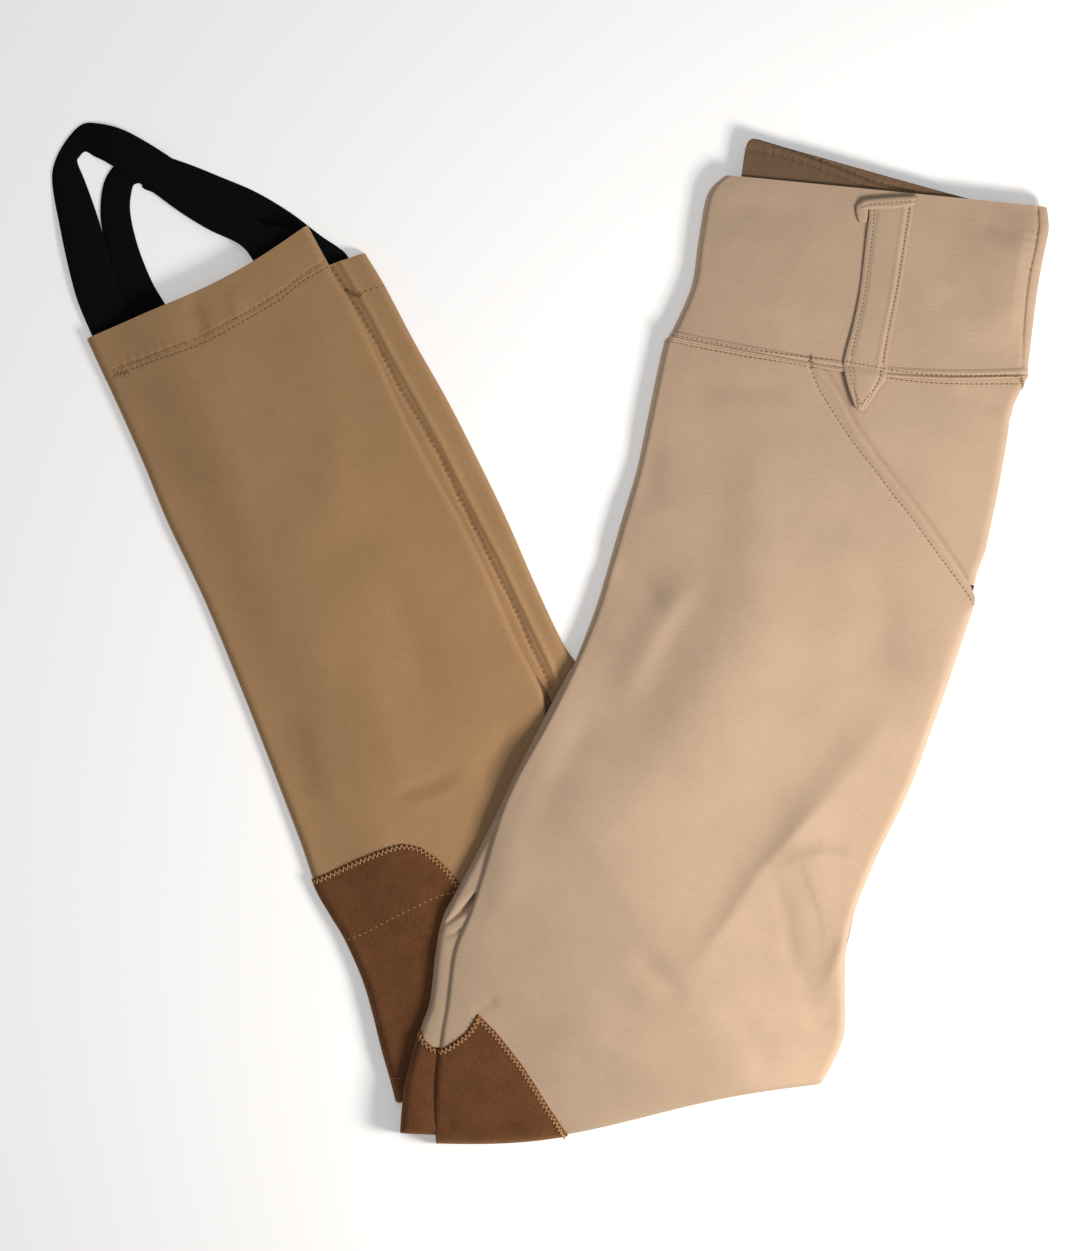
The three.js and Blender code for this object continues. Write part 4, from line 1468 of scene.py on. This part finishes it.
# A line of grid squares, smoothed and laid on the highest of the named surfaces.
def onSurface(names, points, lift, spacing=1.0):
    dense = smoothRows(points, 6)
    x, y = mmX(dense[:, 0]), mmY(dense[:, 1])
    run = np.concatenate([[0.0], np.cumsum(np.hypot(np.diff(x), np.diff(y)))])
    at = np.linspace(0, run[-1], max(2, int(run[-1] / spacing)))
    out = []
    for px, py in zip(np.interp(at, run, x), np.interp(at, run, y)):
        hits = [surfaces[n].ray_cast(Vector((px, py, 60)), Vector((0, 0, -1))) for n in names]
        high = max((h[0].z for h in hits if h[0] is not None), default=None)
        if high is not None:
            out.append((px * 0.001, py * 0.001, (high + lift) * 0.001))
    return out


# Lay lines of thread; lines is a list of surface names and grid points.
def stitches(name, lines, thread, slot, **size):
    points, edges = [], []
    for names, line in lines:
        laid = onSurface(names, line, size.get("lift", 0.1))
        edges += [(len(points) + k, len(points) + k + 1) for k in range(len(laid) - 1)]
        points += laid
    mesh = bpy.data.meshes.new(name)
    mesh.from_pydata(points, edges, [])
    piece = bpy.data.objects.new(name, mesh)
    scene.collection.objects.link(piece)
    modifier = piece.modifiers.new("stitchRow", "NODES")
    modifier.node_group = stitchTree
    keys = {i.name: i.identifier for i in stitchTree.interface.items_tree if i.in_out == "INPUT"}
    values = {
        "Pitch": size.get("pitch", 2.6),
        "Length": size.get("length", 2.1),
        "Thickness": size.get("thickness", 0.55),
    }
    for key, value in values.items():
        modifier[keys[key]] = value * 0.001
    modifier[keys["Slant"]] = math.radians(size.get("slant", 0.0))
    modifier[keys["Looseness"]] = size.get("looseness", 0.06)
    modifier[keys["Seed"]] = size.get("seed", 1)
    modifier[keys["Thread"]] = thread
    graph = bpy.context.evaluated_depsgraph_get()
    real = bpy.data.meshes.new_from_object(piece.evaluated_get(graph))
    piece.modifiers.clear()
    piece.data = real
    real.polygons.foreach_set("use_smooth", np.ones(len(real.polygons), bool))
    if not real.materials:
        real.materials.append(thread)
    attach(piece, "root")
    print(f"{name}: {len(real.polygons)} faces")
    return piece


# A line moved sideways by a number of grid squares, to the right as it runs.
def inside(points, by):
    p = np.array(points, float)
    along = np.gradient(p, axis=0)
    along /= np.linalg.norm(along, axis=1, keepdims=True)
    return [tuple(q) for q in p + by * np.stack([-along[:, 1], along[:, 0]], 1)]


nearNames = ["front_panel", "pocket_facing", "waistband_outer", "waist_seam"]
stitches(
    "stitches_waist",
    [
        (["waist_seam"], upperSeamLeft),
        (["waist_seam"], upperSeamRight),
        (["waist_seam", "front_panel"], lowerSeamLeft),
        (["waist_seam", "pocket_facing"], lowerSeamRight),
    ],
    threadDark, "cloth", pitch=2.5, length=1.9, seed=2,
)
stitches(
    "stitches_pocket", [(["front_panel"], pocketRow)], threadDark, "cloth", pitch=2.4, length=1.8,
    seed=3,
)
stitches(
    "stitches_loop",
    [
        (["loop_body"], [(874, 212), (871.5, 240), (865, 290), (858, 325), (851, 355)]),
        (["loop_body"], [(909, 210), (904.5, 240), (896.5, 290), (889, 325), (883, 362)]),
        (["loop_fold"], [(870, 205), (890, 203.5), (909, 202)]),
        (["loop_tab"], [(849, 368), (852, 384), (859, 404)]),
        (["loop_tab"], [(881, 372), (877, 384), (862, 404)]),
        (["loop_body", "loop_tab"], [(847, 362), (866, 366), (884, 369)]),
    ],
    threadDark, "cloth", pitch=2.0, length=1.5, thickness=0.5, seed=4,
)
stitches(
    "stitches_inner_band", [(["waistband_inner"], bandRow)], threadDark, "waistband_inside",
    pitch=2.4, length=1.8, seed=5,
)
stitches(
    "stitches_hem",
    [
        (["right_hem"], hemUpper), (["right_hem", "right_calf"], hemLower),
        (["left_hem"], underHemRow),
    ],
    threadTan, "cloth", pitch=2.6, length=2.0, seed=6,
)
stitches(
    "stitches_calf_seam", [(["left_calf", "left_hem"], calfSeam)], threadTan, "cloth", pitch=2.8,
    length=2.1, seed=7,
)
stitches(
    "stitches_suede",
    [(["calf_suede"], calfPatchRow), (["calf_suede"], calfFootRow)],
    threadLight, "suede", pitch=3.0, length=1.9, seed=8,
)
bartacks = [
    (nearNames, [(810, 357), (813, 368)]),
    (nearNames, [(1022, 378), (1024, 392)]),
    (["left_hem", "left_calf"], [(347, 288), (353, 293), (361, 295)]),
]
stitches(
    "stitches_bartacks", bartacks, threadDark, "cloth", pitch=0.8, length=3.2, slant=62,
    thickness=0.6, seed=9,
)
stitches(
    "knot_hem", [(["right_hem", "right_calf"], [(114, 374), (121, 374), (127, 372)])],
    threadTan, "cloth",
    pitch=1.1, length=4.2, slant=66, thickness=0.7, looseness=0.3, seed=10,
)
for name, surface, edge in (
    ("zigzag_calf", ["calf_suede"], inside(calfPatchEdge[1:-1], 3.5)),
    ("zigzag_thigh", ["thigh_suede"], inside(thighPatchEdge[1:-1], 3.5)),
    ("zigzag_far", ["far_knee_patch"], inside(farPatchEdge[1:-1], 3.0)),
):
    stitches(
        name, [(surface, edge)], threadLight, "suede",
        pitch=1.2, length=3.6, slant=62, thickness=0.62, looseness=0.18, lift=0.3, seed=11,
    )
print("stitches made")

declareSheet(
    "front_panel",
)
declareSheet("pocket_facing")
declareSheet(
    "waistband_outer",
)
declareSheet("waistband_inner")
declareSheet("far_thigh_edge")
declareSheet("far_knee_patch")
declareSheet("right_calf")
declareSheet("right_hem")
declareSheet("left_calf")
declareSheet("left_hem")

# Floor, light and camera
# A pale table that glows faintly, so that shadows on it stay soft.
studio = dict(floor="#F6F5F3", floorGlow=0.3, sky="#F4F6FA", skyStrength=0.27)
floorMesh = bpy.data.meshes.new("floor")
floorMesh.from_pydata([(-4, -4, 0), (4, -4, 0), (4, 4, 0), (-4, 4, 0)], [], [(0, 1, 2, 3)])
floor = bpy.data.objects.new("floor", floorMesh)
scene.collection.objects.link(floor)
floorPaint, tree = newMaterial("paleFloor")
paint = addNode(
    tree, "ShaderNodeBsdfPrincipled", "floor", (0, 0), {
        "Base Color": linear(studio["floor"]), "Roughness": 0.9,
    }
)
paint.inputs["Emission Color"].default_value = linear(studio["floor"])
paint.inputs["Emission Strength"].default_value = studio["floorGlow"]
out = addNode(tree, "ShaderNodeOutputMaterial", "out", (300, 0))
tree.links.new(paint.outputs[0], out.inputs["Surface"])
floorMesh.materials.append(floorPaint)

scene.view_settings.view_transform = "Standard"
world = bpy.data.worlds.new("studio")
scene.world = world
world.use_nodes = True
world.node_tree.nodes["Background"].inputs["Color"].default_value = linear(studio["sky"])
world.node_tree.nodes["Background"].inputs["Strength"].default_value = studio["skyStrength"]


def areaLight(name, place, aim, size, power, colour):
    data = bpy.data.lights.new(name, "AREA")
    data.size = size
    data.energy = power
    data.color = linear(colour)[:3]
    lamp = bpy.data.objects.new(name, data)
    lamp.location = place
    turn = Vector(aim) - Vector(place)
    lamp.rotation_euler = turn.to_track_quat("-Z", "Y").to_euler()
    lamp.visible_camera = False
    scene.collection.objects.link(lamp)


areaLight("key", (0.55, -0.25, 0.45), (0, 0, 0), 0.22, 6.2, "#FFFAF6")
areaLight("fill", (-0.3, 0.6, 1.2), (0, 0, 0), 1.0, 1.8, "#EFF4FF")

cameraData = bpy.data.cameras.new("camera")
camera = bpy.data.objects.new("camera", cameraData)
scene.collection.objects.link(camera)
cameraHeight = 1.6
camera.location = (-0.00475, 0.0039, cameraHeight)
camera.rotation_euler = (0, 0, 0)
cameraData.sensor_width = 36
cameraData.lens = 36 * (cameraHeight - 0.009) / 0.6255
cameraData.clip_start = 0.05
scene.camera = camera
print("stage made")
